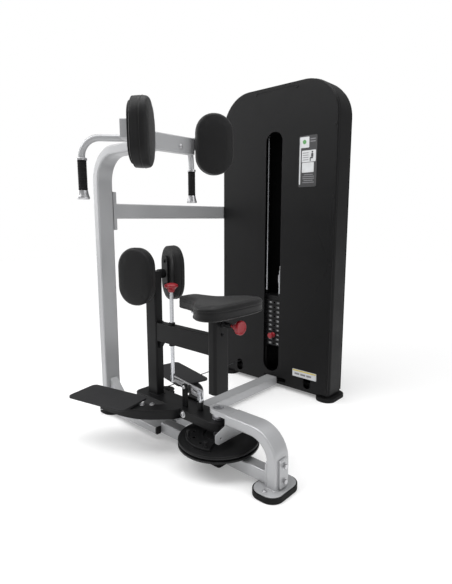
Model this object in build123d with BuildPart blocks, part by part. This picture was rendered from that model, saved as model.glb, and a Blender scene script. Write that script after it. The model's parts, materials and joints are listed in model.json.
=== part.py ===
from build123d import *
import math
import os

os.makedirs("parts", exist_ok=True)

# ---------------------------------------------------------------------------
# Seated rotary torso machine with a selectorised weight stack.
# Millimetres, +Z up.  The origin is on the floor under the swivel axis of the
# seat carriage.  The user sits on the axis and faces -X, towards the upright
# arch; the user's left is -Y and the weight tower stands on the +Y side.
# Paired pieces are built with side = -1 (left) and side = 1 (right).
# ---------------------------------------------------------------------------

# ===================== shared dimensions =====================

SIDES = (-1, 1)
ON_BASE = (Align.CENTER, Align.CENTER, Align.MIN)  # a cylinder that starts at its location
ALONG_X = (0, 90, 0)
ALONG_Y = (90, 0, 0)

GAP = 0.2    # between neighbouring pieces
FIT = 0.05   # radial play between a bore and what runs in it

# frame tube, a flat oblong section
TUBE_W = 80.0
TUBE_T = 40.0
TUBE_CORNER = 7.0
WALL = 3.0
FLANGE_T = 8.0

# upright arch and chest crossbar
UPRIGHT_X = -726.0
ARM_Z = 1235.0
ARCH_R = 130.0
CROSSBAR_X = -272.0
CROSSBAR_Z = 1232.0
CROSSBAR_HALF = 138.0
CROSSBAR_D = 40.0
CROSSBAR_H = 64.0

# base rail, base box and rear leg
FOOT_Z = 25.0
PAD_Z = 18.0
RAIL_W = 50.0
RAIL_Z0 = 25.2
RAIL_Z1 = 74.0
RAIL_H = RAIL_Z1 - RAIL_Z0
RAIL_MID_Z = (RAIL_Z0 + RAIL_Z1) / 2
RAIL_X0 = -318.0
BOX_W = 100.0
BOX_H = 32.0
BOX_MID_Z = 41.2
BOX_CORNER = 6.0
BOX_CAP_T = 8.0
BOX_X0 = UPRIGHT_X + TUBE_T / 2 + 1.5
BOX_X1 = RAIL_X0 - BOX_CAP_T
LEG_X = 280.0
LEG_FACE = TUBE_T / 2
ELBOW_Z = 211.0
ELBOW_R = 95.0
ELBOW_END_X = 70.0

# cross beam from the upright to the tower
CROSS_BEAM_Z = 977.0
CROSS_BEAM_H = 70.0
CROSS_BEAM_Y0 = 56.5
CROSS_BEAM_Y1 = 844.0

# swivel: shaft, cam disc, carriage arm and the fixed ring above it
SHAFT_R = 14.0
SHAFT_Z1 = 224.0
CAM_R = 158.0
CAM_Z0 = 84.0
CAM_Z1 = 112.0
GROOVE_Z = 98.0
INDEX_T = 10.0
INDEX_TOP = CAM_Z1 + INDEX_T
ARM_Z0 = 154.0
ARM_Z1 = 188.0
ARM_HALF = 52.0
RING_Z0 = 213.0
RING_Z1 = 230.0

# seat and knee structure
COL_X = -375.0
COL_W = 68.0
COL_FACE_X = COL_X + COL_W / 2
COL_D = 40.0
COL_CORNER = 8.0
COL_TOP_Z = 722.0
BEAM_Z0 = 432.0
BEAM_Z1 = 512.0
BEAM_MID_Z = (BEAM_Z0 + BEAM_Z1) / 2
POST_X = 40.0
POST_Y = 80.0
POST_Z0 = 291.0
POST_Z1 = 592.0
KNOB_Z = 560.0
HEIGHT_PITCH = 40.0
KNEE_Z = 712.0

# release mechanism
ROD_X = -262.0
ROD_R = 8.0
LEVER_X = -170.0
LEVER_Z = 272.0
PLUNGER_X = -99.0

# tower, from the front panel (-Y side) to the rear panel
TOWER_X = -340.0
TOWER_W = 723.0
TOWER_Y = 798.0
TOWER_Z0 = 34.0
TOWER_Z1 = 1615.0
TOWER_R = 185.0
TOWER_MID_Y = 872.0
PANEL_T = 4.0
FRONT_SPACER_T = 4.0
REAR_SPACER_T = 2.0
FRAME_Y0 = TOWER_Y + PANEL_T + FRONT_SPACER_T
FRAME_DEPTH = 128.0
FRAME_Y1 = FRAME_Y0 + FRAME_DEPTH

# weight stack
STACK_Y = 870.0
ROD_DX = 93.0
GUIDE_ROD_R = 10.0
PLATE_W = 232.0
PLATE_T = 25.0
PLATE_PITCH = 26.0
STACK_Z = 245.0
N_PLATES = 10
PIN_PLATE = 2

# cable
CABLE_R = 2.5
CABLE_X = -572.0
CABLE_Y = CAM_R - 9.0


# ===================== helpers =====================

def save(name, *builders):
    """Write one node; several pieces are welded or share the node."""
    if len(builders) == 1:
        part = builders[0].part
    else:
        with BuildPart() as group:
            for builder in builders:
                add(builder.part)
        part = group.part
    part.label = name
    export_step(part, "parts/" + name + ".step")


def tube_section(width, height, corner, wall=WALL, inner_corner=None):
    """Draw a hollow rounded rectangle in the current sketch."""
    if inner_corner is None:
        inner_corner = corner - wall
    RectangleRounded(width, height, corner)
    RectangleRounded(width - 2 * wall, height - 2 * wall, inner_corner, mode=Mode.SUBTRACT)


def ring_section(outer_radius, inner_radius):
    """Draw an annulus in the current sketch."""
    Circle(outer_radius)
    Circle(inner_radius, mode=Mode.SUBTRACT)


def bent_tube(foot_x, bend_z, end_x, bend_radius):
    """Frame tube that rises from a foot and bends over towards end_x."""
    corner_index = 0 if end_x > foot_x else -1
    with BuildPart() as tube:
        with BuildLine(Plane.XZ) as path:
            Polyline((foot_x, FOOT_Z), (foot_x, bend_z), (end_x, bend_z))
            upper_ends = path.vertices().sort_by(Axis.Z)[-2:]
            fillet(upper_ends.sort_by(Axis.X)[corner_index], radius=bend_radius)
        with BuildSketch(Plane((foot_x, 0, FOOT_Z), x_dir=(1, 0, 0), z_dir=(0, 0, 1))):
            tube_section(TUBE_T, TUBE_W, TUBE_CORNER)
        sweep(path=path.wires()[0])
    return tube


def turned(outline, plane, axis):
    """Solid of revolution from a closed polygon drawn on a plane."""
    with BuildPart() as solid:
        with BuildSketch(plane):
            with BuildLine():
                Polyline(*outline, close=True)
            make_face()
        revolve(axis=axis)
    return solid


def upright_plane(x, z=0.0, y=0.0):
    """Plane whose local axes are X and Z, with its normal towards -Y."""
    return Plane(origin=(x, y, z), x_dir=(1, 0, 0), z_dir=(0, -1, 0))


def polar_point(radius, degrees):
    angle = math.radians(degrees)
    return (radius * math.cos(angle), radius * math.sin(angle))


# ===================== upright arch =====================

# vertical leg, easy-way bend, and arm over to the crossbar
upright_arch = bent_tube(UPRIGHT_X, ARM_Z, CROSSBAR_X - CROSSBAR_D / 2 - 1, ARCH_R)

# brace between the foot of the upright and the base box
BRACE_W = 38.0
with BuildPart() as upright_brace:
    with BuildSketch(Plane.XZ.offset(-BRACE_W / 2)):
        with BuildLine():
            Polyline((BOX_X0, 178), (BOX_X0, 128), (-628, 57.5), (-582, 57.5), close=True)
        make_face()
    extrude(amount=BRACE_W)
save("upright_arch", upright_arch, upright_brace)

# ===================== base =====================

# rail under the swivel, from the base box to the flange of the rear leg
with BuildPart() as base_rail:
    with BuildSketch(Plane.YZ.offset(RAIL_X0)):
        with Locations((0, RAIL_MID_Z)):
            tube_section(RAIL_W, RAIL_H, 6)
    extrude(amount=LEG_X - LEG_FACE - FLANGE_T - RAIL_X0)
save("base_rail", base_rail)

# wide flat box from the rail to the upright
with BuildPart() as base_box:
    with BuildSketch(Plane.YZ.offset(BOX_X0)):
        with Locations((0, BOX_MID_Z)):
            tube_section(BOX_W, BOX_H, BOX_CORNER)
    extrude(amount=BOX_X1 - BOX_X0)

# link rail from the base box to the tower
LINK_Y0 = BOX_W / 2 + 0.5
with BuildPart() as link_rail:
    with BuildSketch(Plane.XZ.offset(-LINK_Y0)):
        with Locations((TOWER_X + 1, 37)):
            tube_section(68, 48, 6)
    extrude(amount=-(FRAME_Y0 - LINK_Y0))
save("base_box", base_box, link_rail)

# moulded edge cap on the end of the box, around the rail
with BuildPart() as box_end_cap:
    with BuildSketch(Plane.YZ.offset(BOX_X1)):
        with Locations((0, BOX_MID_Z)):
            RectangleRounded(BOX_W, BOX_H, BOX_CORNER)
    extrude(amount=BOX_CAP_T)
    with BuildSketch(Plane.YZ.offset(BOX_X1 - 4)):
        with Locations((0, RAIL_MID_Z)):
            Rectangle(RAIL_W + 2 * GAP, RAIL_H + 2 * GAP)
    extrude(amount=20, mode=Mode.SUBTRACT)
    fillet(box_end_cap.edges().filter_by(Axis.Z).sort_by(Axis.X)[-4:], radius=2)
save("box_end_cap", box_end_cap)

# rear leg, with its elbow reaching over the carriage
save("rear_elbow", bent_tube(LEG_X, ELBOW_Z, ELBOW_END_X, ELBOW_R))

# ===================== flanges and cross beam =====================

# flange on the end of the base rail, and clamp plate on the far side of the leg
with BuildPart() as leg_flanges:
    with Locations((LEG_X - LEG_FACE - FLANGE_T / 2, 0, 71.5)):
        Box(FLANGE_T, 72, 88)
    with Locations((LEG_X + LEG_FACE + FLANGE_T / 2, 0, 80)):
        Box(FLANGE_T, 48, 104)
    fillet(leg_flanges.edges().filter_by(Axis.X), radius=8)

# two bolted flanges between the upright and the cross beam
BEAM_FLANGE_Y = TUBE_W / 2 + GAP + FLANGE_T / 2
with BuildPart() as beam_flanges:
    with Locations(
        (UPRIGHT_X, BEAM_FLANGE_Y, CROSS_BEAM_Z + 1),
        (UPRIGHT_X, BEAM_FLANGE_Y + FLANGE_T + GAP, CROSS_BEAM_Z + 1),
    ):
        Box(TUBE_T + 2, FLANGE_T, 176)
    fillet(beam_flanges.edges().filter_by(Axis.Y), radius=4)
save("bolt_flanges", leg_flanges, beam_flanges)

# beam from the upright to the tower, plugged at the tower end
BEAM_PLUG_T = 3.0
with BuildPart() as cross_beam:
    with BuildSketch(Plane.XZ.offset(-CROSS_BEAM_Y0)):
        with Locations((UPRIGHT_X, CROSS_BEAM_Z)):
            tube_section(TUBE_T, CROSS_BEAM_H, 6)
    extrude(amount=-(CROSS_BEAM_Y1 - CROSS_BEAM_Y0))
    with Locations((UPRIGHT_X, CROSS_BEAM_Y1 - BEAM_PLUG_T / 2, CROSS_BEAM_Z)):
        Box(TUBE_T - 4, BEAM_PLUG_T, CROSS_BEAM_H - 4)
save("cross_beam", cross_beam)

# ===================== feet =====================

FRAME_FEET = ((UPRIGHT_X, 96), (LEG_X - 10, 160))  # centre x, size in y
FOOT_LEN = 110.0
FOOT_CORNER = 44.0
MAT_MARGIN = 5.0

# steel foot plates under upright and rear leg
with BuildPart() as foot_plates_steel:
    for foot_x, foot_width in FRAME_FEET:
        with BuildSketch(Plane.XY.offset(PAD_Z)):
            with Locations((foot_x, 0)):
                RectangleRounded(FOOT_LEN, foot_width, FOOT_CORNER)
        extrude(amount=FOOT_Z - PAD_Z)
    chamfer(foot_plates_steel.edges().group_by(Axis.Z)[-1], length=1)
save("foot_plates_steel", foot_plates_steel)

# rubber mats, recessed to take the foot plates
with BuildPart() as foot_rubbers:
    for foot_x, foot_width in FRAME_FEET:
        with BuildSketch(Plane.XY):
            with Locations((foot_x, 0)):
                RectangleRounded(
                    FOOT_LEN + 2 * MAT_MARGIN, foot_width + 2 * MAT_MARGIN, FOOT_CORNER + MAT_MARGIN
                )
        extrude(amount=PAD_Z + 4)
        with BuildSketch(Plane.XY.offset(PAD_Z)):
            with Locations((foot_x, 0)):
                RectangleRounded(FOOT_LEN + 2 * GAP, foot_width + 2 * GAP, FOOT_CORNER + GAP)
        extrude(amount=10, mode=Mode.SUBTRACT)
    fillet(foot_rubbers.edges().group_by(Axis.Z)[0], radius=3)

with BuildPart() as tower_feet:
    for foot_x in (TOWER_X - 335, TOWER_X + 335):
        with BuildSketch(Plane.XY):
            with Locations((foot_x, TOWER_MID_Y)):
                RectangleRounded(104, 178, 48)
        extrude(amount=18)
    fillet(tower_feet.edges().group_by(Axis.Z)[-1], radius=3)

# block under the base rail, on the swivel axis
with BuildPart() as centre_foot:
    with BuildSketch(Plane.XY):
        RectangleRounded(60, 60, 10)
    extrude(amount=25.1)
    chamfer(centre_foot.edges().group_by(Axis.Z)[0], length=1)
save("rubber_feet", foot_rubbers, tower_feet, centre_foot)

# ===================== fixed swivel =====================

# ring plate that holds the top of the swivel shaft
RING_END_X = 68.0
with BuildPart() as pivot_ring:
    with BuildSketch(Plane.XY.offset(RING_Z0)):
        Circle(33)
        with Locations((RING_END_X / 2, 0)):
            Rectangle(RING_END_X, 66)
        Circle(21, mode=Mode.SUBTRACT)
    extrude(amount=RING_Z1 - RING_Z0)
    ring_top = pivot_ring.edges().group_by(Axis.Z)[-1]
    fillet(ring_top.filter_by(GeomType.CIRCLE), radius=1.5)

# end plate of the elbow tube, with the guide plate hanging below it: (y, z)
GUIDE_PLATE = (
    (-40, 229), (-40, 190), (-92, 172), (-92, 142), (-76, 129),
    (104, 129), (104, 148), (57, 151), (42, 188), (40, 229),
)
with BuildPart() as guide_plate:
    with BuildSketch(Plane.YZ.offset(ELBOW_END_X)):
        with BuildLine():
            Polyline(*GUIDE_PLATE, close=True)
        make_face()
        for side in SIDES:
            with Locations((side * 62, 150)):
                Circle(4, mode=Mode.SUBTRACT)
    extrude(amount=-1.8)
    plate_corners = guide_plate.edges().filter_by(Axis.X).group_by(SortBy.LENGTH)[0]
    fillet(plate_corners.sort_by(Axis.Z)[:4], radius=6)
save("pivot_ring", pivot_ring, guide_plate)

# fixed shaft from the base rail to the ring plate, flanged at both ends
SHAFT_FLANGE_T = 6.0
with BuildPart() as swivel_shaft:
    with BuildSketch(Plane.XY.offset(RAIL_Z1)):
        Circle(SHAFT_R)
    extrude(amount=SHAFT_Z1 - RAIL_Z1)
    with BuildSketch(Plane.XY.offset(RAIL_Z1)):
        Circle(24)
    extrude(amount=SHAFT_FLANGE_T)
    with BuildSketch(Plane.XY.offset(RING_Z0 + 1)):
        Circle(21 - FIT)
    extrude(amount=SHAFT_FLANGE_T)
    chamfer(swivel_shaft.edges().group_by(Axis.Z)[-1], length=1.5)

# bearing collar between carriage arm and ring plate
COLLAR_Z0 = ARM_Z1 + 2.5
with BuildPart() as top_collar:
    with BuildSketch(Plane.XY.offset(COLLAR_Z0)):
        ring_section(25, SHAFT_R + FIT)
    extrude(amount=RING_Z0 - COLLAR_Z0)
    fillet(top_collar.edges().group_by(Axis.Z)[0].sort_by(SortBy.RADIUS)[-1], radius=1.5)
save("swivel_shaft", swivel_shaft, top_collar)

# ===================== chest pads =====================

CHEST_PAD_X = -191.0
CHEST_PAD_Y = 181.0
CHEST_PAD_Z = 1237.5
PAD_ANGLE = 39.0
PAD_COS = math.cos(math.radians(PAD_ANGLE))
PAD_SIN = math.sin(math.radians(PAD_ANGLE))
CHEST_PAD_W = 154.0
CHEST_PAD_H = 242.0
CHEST_PAD_CORNER = 76.5
BOARD_INSET = 16.0
BRACKET_DEPTH = -68.0
STUB_REACH = 30.2  # from the pad's middle to the stub's end, along the pad


def chest_plane(side, depth):
    """Plane parallel to a chest pad, its normal towards the user."""
    normal = (PAD_COS, -side * PAD_SIN, 0)
    origin = (
        CHEST_PAD_X + normal[0] * depth,
        side * CHEST_PAD_Y + normal[1] * depth,
        CHEST_PAD_Z,
    )
    return Plane(origin, x_dir=(PAD_SIN, side * PAD_COS, 0), z_dir=normal)


def stub_end(side, depth):
    """Plan point where a stub arm meets its carrier, behind the pad."""
    return (
        CHEST_PAD_X - depth * PAD_COS - STUB_REACH * PAD_SIN,
        side * (CHEST_PAD_Y + depth * PAD_SIN - STUB_REACH * PAD_COS),
    )


for side, name in zip(SIDES, ("chest_pad_left", "chest_pad_right")):
    with BuildPart() as chest_pad:
        with BuildSketch(chest_plane(side, -31)):
            RectangleRounded(CHEST_PAD_W, CHEST_PAD_H, CHEST_PAD_CORNER)
        extrude(amount=65)
        fillet(chest_pad.edges(), radius=14)
    save(name, chest_pad)

# oval backing boards the pads are upholstered on
with BuildPart() as chest_pad_boards:
    for side in SIDES:
        with BuildSketch(chest_plane(side, -36)):
            RectangleRounded(
                CHEST_PAD_W - 2 * BOARD_INSET,
                CHEST_PAD_H - 2 * BOARD_INSET,
                CHEST_PAD_CORNER - BOARD_INSET,
            )
        extrude(amount=4.8)
save("chest_pad_boards", chest_pad_boards)

# ===================== chest crossbar =====================

CROSSBAR_CAP_T = 3.0
CROSSBAR_BORE_HALF = 118.0

# bar that carries both chest pads, hollow between its solid ends
with BuildPart() as chest_crossbar:
    with Locations((CROSSBAR_X, 0, CROSSBAR_Z)):
        Box(CROSSBAR_D, 2 * CROSSBAR_HALF, CROSSBAR_H)
    fillet(chest_crossbar.edges().filter_by(Axis.Y), radius=6)
    with BuildSketch(Plane.XZ.offset(-CROSSBAR_BORE_HALF)):
        with Locations((CROSSBAR_X, CROSSBAR_Z)):
            RectangleRounded(CROSSBAR_D - 2 * WALL, CROSSBAR_H - 2 * WALL, 3)
    extrude(amount=2 * CROSSBAR_BORE_HALF, mode=Mode.SUBTRACT)

# cap plates that close the crossbar's ends
CAP_Y = CROSSBAR_HALF + CROSSBAR_CAP_T / 2
with BuildPart() as crossbar_caps:
    with Locations((CROSSBAR_X, CAP_Y, CROSSBAR_Z), (CROSSBAR_X, -CAP_Y, CROSSBAR_Z)):
        Box(CROSSBAR_D - 4, CROSSBAR_CAP_T, CROSSBAR_H - 4)

# relief that lets the crossbar's ends tuck in behind the pads
with BuildPart() as pad_relief:
    for side in SIDES:
        with BuildSketch(chest_plane(side, -32)):
            RectangleRounded(CHEST_PAD_W + 2, CHEST_PAD_H + 2, CHEST_PAD_CORNER + 0.5)
        extrude(amount=30)
with BuildPart() as crossbar_body:
    add(chest_crossbar)
    add(pad_relief, mode=Mode.SUBTRACT)
with BuildPart() as crossbar_ends:
    add(crossbar_caps)
    add(pad_relief, mode=Mode.SUBTRACT)

# stub arms that join the crossbar to the carriers
STUB_ROOT_Y = CROSSBAR_HALF + CROSSBAR_CAP_T + GAP
with BuildPart() as pad_stubs:
    for side in SIDES:
        with BuildSketch(Plane.XY.offset(1220)):
            with BuildLine():
                Polyline(
                    (CROSSBAR_X - 18, side * STUB_ROOT_Y),
                    (CROSSBAR_X + 10, side * STUB_ROOT_Y),
                    stub_end(side, 52),
                    stub_end(side, 67.8),
                    close=True,
                )
            make_face()
        extrude(amount=48)

# short carrier blocks behind the boards
with BuildPart() as chest_brackets:
    for side in SIDES:
        with BuildSketch(chest_plane(side, BRACKET_DEPTH)):
            with Locations((0, side * 9)):
                RectangleRounded(60, 66, 5)
        extrude(amount=31.8)
save("chest_crossbar", crossbar_body, crossbar_ends, pad_stubs, chest_brackets)

# ===================== handlebars =====================

BAR_R = 12.5
BAR_Z = 1236.0
BAR_ROOT_X = CROSSBAR_X - CROSSBAR_D / 2 - GAP
BAR_ROOT_Y = 116.0
GRIP_X = -426.0
GRIP_Y = 277.0
BAR_END_Z = 1046.0
GRIP_Z0 = BAR_END_Z + 1
GRIP_LEN = 107.0

# bars run outwards and towards -X from the crossbar, then bend straight down
with BuildPart() as handlebars:
    for side in SIDES:
        with BuildLine() as bar_path:
            Polyline(
                (BAR_ROOT_X, side * BAR_ROOT_Y, BAR_Z),
                (GRIP_X, side * GRIP_Y, BAR_Z),
                (GRIP_X, side * GRIP_Y, BAR_END_Z),
            )
            fillet(bar_path.vertices().sort_by(Axis.X)[:2].sort_by(Axis.Z)[-1], radius=68)
        bar_direction = (GRIP_X - BAR_ROOT_X, side * (GRIP_Y - BAR_ROOT_Y), 0)
        with BuildSketch(Plane((BAR_ROOT_X, side * BAR_ROOT_Y, BAR_Z), z_dir=bar_direction)):
            ring_section(BAR_R, 10)
        sweep(path=bar_path.wires()[0])
    # square the inner ends off against the crossbar
    with Locations((CROSSBAR_X, 0, BAR_Z)):
        Box(CROSSBAR_D + 0.1, 2 * CROSSBAR_HALF, CROSSBAR_H, mode=Mode.SUBTRACT)
save("handlebars", handlebars)

# rubber grips over the lower ends of the handlebars
with BuildPart() as hand_grips:
    for side in SIDES:
        with BuildSketch(Plane.XY.offset(GRIP_Z0)):
            with Locations((GRIP_X, side * GRIP_Y)):
                ring_section(16.5, BAR_R + FIT)
        extrude(amount=GRIP_LEN)
    grip_rims = hand_grips.edges().group_by(Axis.Z)[-1].sort_by(SortBy.RADIUS)[-2:]
    fillet(grip_rims, radius=1.5)
save("hand_grips", hand_grips)

# collars above the grips
with BuildPart() as grip_collars:
    for side in SIDES:
        with BuildSketch(Plane.XY.offset(GRIP_Z0 + GRIP_LEN + GAP)):
            with Locations((GRIP_X, side * GRIP_Y)):
                ring_section(19, BAR_R + FIT)
        extrude(amount=9)
    collar_rims = grip_collars.edges().group_by(Axis.Z)[-1].sort_by(SortBy.RADIUS)[-2:]
    chamfer(collar_rims, length=1.5)

# flared caps below the grips, drawn as (radius, z)
with BuildPart() as grip_end_caps:
    for side in SIDES:
        with BuildSketch(upright_plane(GRIP_X, y=side * GRIP_Y)):
            with BuildLine():
                Polyline((0, 1014), (21, 1014), (23, 1018), (22.5, 1022))
                Spline((22.5, 1022), (19, 1033), (17, 1046.6))
                Polyline(
                    (17, 1046.6), (12.6, 1046.6), (12.6, 1045.8), (0, 1045.8), (0, 1014)
                )
            make_face()
        revolve(axis=Axis((GRIP_X, side * GRIP_Y, 0), (0, 0, 1)))
save("grip_caps", grip_collars, grip_end_caps)

# ===================== tower shell =====================


def arch_outline(grow, bottom_z):
    """Outline of the tower, grown sideways and upwards: straight sides, large top corners."""
    half_width = TOWER_W / 2 + grow
    radius = TOWER_R + grow
    top = TOWER_Z1 + grow
    arc_inset = radius * (1 - math.sqrt(0.5))
    left, right = TOWER_X - half_width, TOWER_X + half_width
    with BuildSketch() as outline:
        with BuildLine():
            Line((left, bottom_z), (left, top - radius))
            ThreePointArc(
                (left, top - radius), (left + arc_inset, top - arc_inset), (left + radius, top)
            )
            Line((left + radius, top), (right - radius, top))
            ThreePointArc(
                (right - radius, top), (right - arc_inset, top - arc_inset), (right, top - radius)
            )
            Line((right, top - radius), (right, bottom_z))
            Line((right, bottom_z), (left, bottom_z))
        make_face()
    return outline.sketch_local


# inner outlines start lower, so that subtracting them leaves the bottom open
PANEL_OUTLINE = arch_outline(0, TOWER_Z0)
FRAME_OUTER = arch_outline(4, TOWER_Z0)
FRAME_INNER = arch_outline(-40, TOWER_Z0 - 5)
VOID_OUTER = arch_outline(-3, TOWER_Z0 - 2)
VOID_INNER = arch_outline(-33, TOWER_Z0 - 7)
SPACER_OUTER = arch_outline(-9, TOWER_Z0 + 4)
SPACER_INNER = arch_outline(-33, TOWER_Z0 - 5)

# stack slot in the front panel
SLOT_X = -343.5
SLOT_W = 105.0
SLOT_Z0 = 88.0
SLOT_Z1 = 1390.0

# front panel screws: (x, z)
PANEL_SCREWS = (
    (-691, 717), (11, 717), (-691, 1049), (11, 1049), (-691, 1385), (11, 1385),
    (-691, 385), (11, 385), (-469, 1592), (-211, 1592), (-691, 58), (11, 58),
)

with BuildPart() as tower_front_panel:
    with BuildSketch(Plane.XZ.offset(-TOWER_Y)):
        add(PANEL_OUTLINE)
        with Locations((SLOT_X, (SLOT_Z0 + SLOT_Z1) / 2)):
            SlotOverall(SLOT_Z1 - SLOT_Z0, SLOT_W, rotation=90, mode=Mode.SUBTRACT)
        # notch over the link rail, and one slot on each side of it
        with Locations((-314, TOWER_Z0 + 14)):
            Rectangle(148, 30, mode=Mode.SUBTRACT)
        with Locations((CABLE_X, 76), (-105, 76)):
            SlotOverall(70, 44, rotation=90, mode=Mode.SUBTRACT)
        with Locations(*PANEL_SCREWS):
            Circle(4.2, mode=Mode.SUBTRACT)
        with Locations((UPRIGHT_X, CROSS_BEAM_Z)):
            Rectangle(TUBE_T + 6, CROSS_BEAM_H + 6, mode=Mode.SUBTRACT)
    extrude(amount=-PANEL_T)
    # soften only the long edges of the front face
    chamfer(
        tower_front_panel.edges().group_by(Axis.Y)[0].filter_by(
            lambda e: e.bounding_box().size.Z > 1000 or e.bounding_box().size.X > 180
        ),
        length=0.8,
    )
save("tower_front_panel", tower_front_panel)

# deep hollow side frame: a bent profile running up, over and down
FRAME_WEB = 7.0
with BuildPart() as tower_side_frame:
    with BuildSketch(Plane.XZ.offset(-FRAME_Y0)):
        add(FRAME_OUTER)
        add(FRAME_INNER, mode=Mode.SUBTRACT)
    extrude(amount=-FRAME_DEPTH)
    edges_by_y = tower_side_frame.edges().group_by(Axis.Y)
    fillet(
        (edges_by_y[0] + edges_by_y[-1]).filter_by(
            lambda e: e.center().Z > TOWER_Z0 + 1
            and e.bounding_box().size.Z + e.bounding_box().size.X > 100
        ),
        radius=17,
    )
    with BuildSketch(Plane.XZ.offset(-(FRAME_Y0 + FRAME_WEB))):
        add(VOID_OUTER)
        add(VOID_INNER, mode=Mode.SUBTRACT)
    extrude(amount=-(FRAME_DEPTH - 2 * FRAME_WEB), mode=Mode.SUBTRACT)
save("tower_side_frame", tower_side_frame)

with BuildPart() as tower_rear_panel:
    with BuildSketch(Plane.XZ.offset(-(FRAME_Y1 + REAR_SPACER_T))):
        add(PANEL_OUTLINE)
    extrude(amount=-PANEL_T)

# thin spacer strips that leave the shadow gap behind each panel
with BuildPart() as panel_spacers:
    for spacer_y, thickness in ((TOWER_Y + PANEL_T, FRONT_SPACER_T), (FRAME_Y1, REAR_SPACER_T)):
        with BuildSketch(Plane.XZ.offset(-spacer_y)):
            add(SPACER_OUTER)
            add(SPACER_INNER, mode=Mode.SUBTRACT)
            with Locations((UPRIGHT_X, CROSS_BEAM_Z)):
                Rectangle(TUBE_T + 30, CROSS_BEAM_H + 20, mode=Mode.SUBTRACT)
        extrude(amount=-thickness)
save("tower_rear_panel", tower_rear_panel, panel_spacers)

# screws that hold the front panel, each a head with a hex socket and a shank
SCREW_HEAD_T = 2.3
with BuildPart() as panel_screws:
    with BuildSketch(Plane.XZ.offset(-(TOWER_Y - SCREW_HEAD_T - 0.1))):
        with Locations(*PANEL_SCREWS):
            Circle(7)
            RegularPolygon(2.6, 6, mode=Mode.SUBTRACT)
    extrude(amount=-SCREW_HEAD_T)
    with BuildSketch(Plane.XZ.offset(-(TOWER_Y - 0.1))):
        with Locations(*PANEL_SCREWS):
            Circle(4)
    extrude(amount=-4)
save("panel_screws", panel_screws)

# instruction placard and a small blank label on the front panel
PLACARD_T = 1.5
with BuildPart() as tower_placards:
    with BuildSketch(Plane.XZ.offset(-(TOWER_Y - PLACARD_T - 0.1))):
        with Locations((-136, 1224)):
            RectangleRounded(104, 248, 8)
        with Locations((-120, 118)):
            RectangleRounded(152, 44, 4)
    extrude(amount=-PLACARD_T)
save("tower_placards", tower_placards)

# ===================== tower subframe and guide rods =====================

HEAD_BEAM_Z = 1410.0
RISER_Z0 = 62.0
RISER_H = 142.0
BUFFER_Z0 = RISER_Z0 + RISER_H
BUFFER_H = 28.3


def rods_at(z):
    """Points on both guide rod axes at one height."""
    return ((TOWER_X - ROD_DX, STACK_Y, z), (TOWER_X + ROD_DX, STACK_Y, z))


with BuildPart() as tower_base:
    with Locations((TOWER_X, TOWER_MID_Y, 26)):
        Box(TOWER_W - 8, 120, 16)
    with Locations((TOWER_X, TOWER_MID_Y, 48)):
        Box(TOWER_W - 90, 60, 28)
    with Locations(*rods_at(60)):
        Cylinder(GUIDE_ROD_R + FIT, 60, mode=Mode.SUBTRACT)

# risers that carry the rubber buffers
with BuildPart() as stack_risers:
    with Locations(*rods_at(RISER_Z0)):
        Cylinder(16, RISER_H, align=ON_BASE)
        Cylinder(GUIDE_ROD_R + GAP, RISER_H, align=ON_BASE, mode=Mode.SUBTRACT)

# head beam that carries the top pulleys, with openings for the cable
with BuildPart() as tower_head_beam:
    with Locations((TOWER_X, STACK_Y, HEAD_BEAM_Z)):
        Box(TOWER_W - 81, 40, 30)
    with Locations(*rods_at(HEAD_BEAM_Z)):
        Cylinder(GUIDE_ROD_R + FIT, 60, mode=Mode.SUBTRACT)
    with Locations((TOWER_X + 1, STACK_Y, HEAD_BEAM_Z), (CABLE_X, STACK_Y, HEAD_BEAM_Z)):
        Box(30, 24, 60, mode=Mode.SUBTRACT)
save("tower_subframe", tower_base, stack_risers, tower_head_beam)

with BuildPart() as guide_rods:
    with Locations(*rods_at(50)):
        Cylinder(GUIDE_ROD_R, 1392, align=ON_BASE)
save("guide_rods", guide_rods)

# rubber buffers that the stack rests on
with BuildPart() as stack_buffers:
    with Locations(*rods_at(BUFFER_Z0)):
        Cylinder(22, BUFFER_H, align=ON_BASE)
        Cylinder(GUIDE_ROD_R + GAP, BUFFER_H, align=ON_BASE, mode=Mode.SUBTRACT)
    buffer_circles = stack_buffers.edges().filter_by(GeomType.CIRCLE)
    fillet(buffer_circles.filter_by(lambda e: e.radius > 20), radius=4)
save("stack_buffers", stack_buffers)

# ===================== weight stack =====================

STEM_R = 11.0
STEM_Z0 = 236.0
STEM_LEN = 350.0
SHACKLE_Z = STEM_Z0 + STEM_LEN
SHACKLE_H = 46.0
EYE_Z = SHACKLE_Z + SHACKLE_H
EYE_H = 18.0


def plate_z(index):
    """Mid height of a weight plate, counted from the bottom."""
    return STACK_Z + index * PLATE_PITCH


def save_plates(name, indices, bore_z, bore_length):
    """Weight plates: blocks with rod holes, a stem hole and a pin hole from the front."""
    with BuildPart() as plates:
        for i in indices:
            with Locations((TOWER_X, STACK_Y, plate_z(i))):
                Box(PLATE_W, 100, PLATE_T)
        fillet(plates.edges().filter_by(Axis.Z), radius=6)
        flat_edges = plates.edges().filter_by(Plane.XY).filter_by(GeomType.LINE)
        chamfer(flat_edges.filter_by(Axis.X), length=1.5)
        with Locations(*rods_at(bore_z)):
            Cylinder(GUIDE_ROD_R + 1, bore_length, mode=Mode.SUBTRACT)
        with Locations((TOWER_X, STACK_Y, bore_z)):
            Cylinder(STEM_R + 1, bore_length, mode=Mode.SUBTRACT)
        with Locations([(TOWER_X, STACK_Y - 30, plate_z(i)) for i in indices]):
            Cylinder(5.2, 60, rotation=ALONG_Y, mode=Mode.SUBTRACT)
    save(name, plates)


# plates below the pin, then the pinned plate and those above it
save_plates("plates_resting", range(PIN_PLATE), bore_z=260, bore_length=120)
save_plates("plates_lifted", range(PIN_PLATE, N_PLATES), bore_z=400, bore_length=320)

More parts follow.
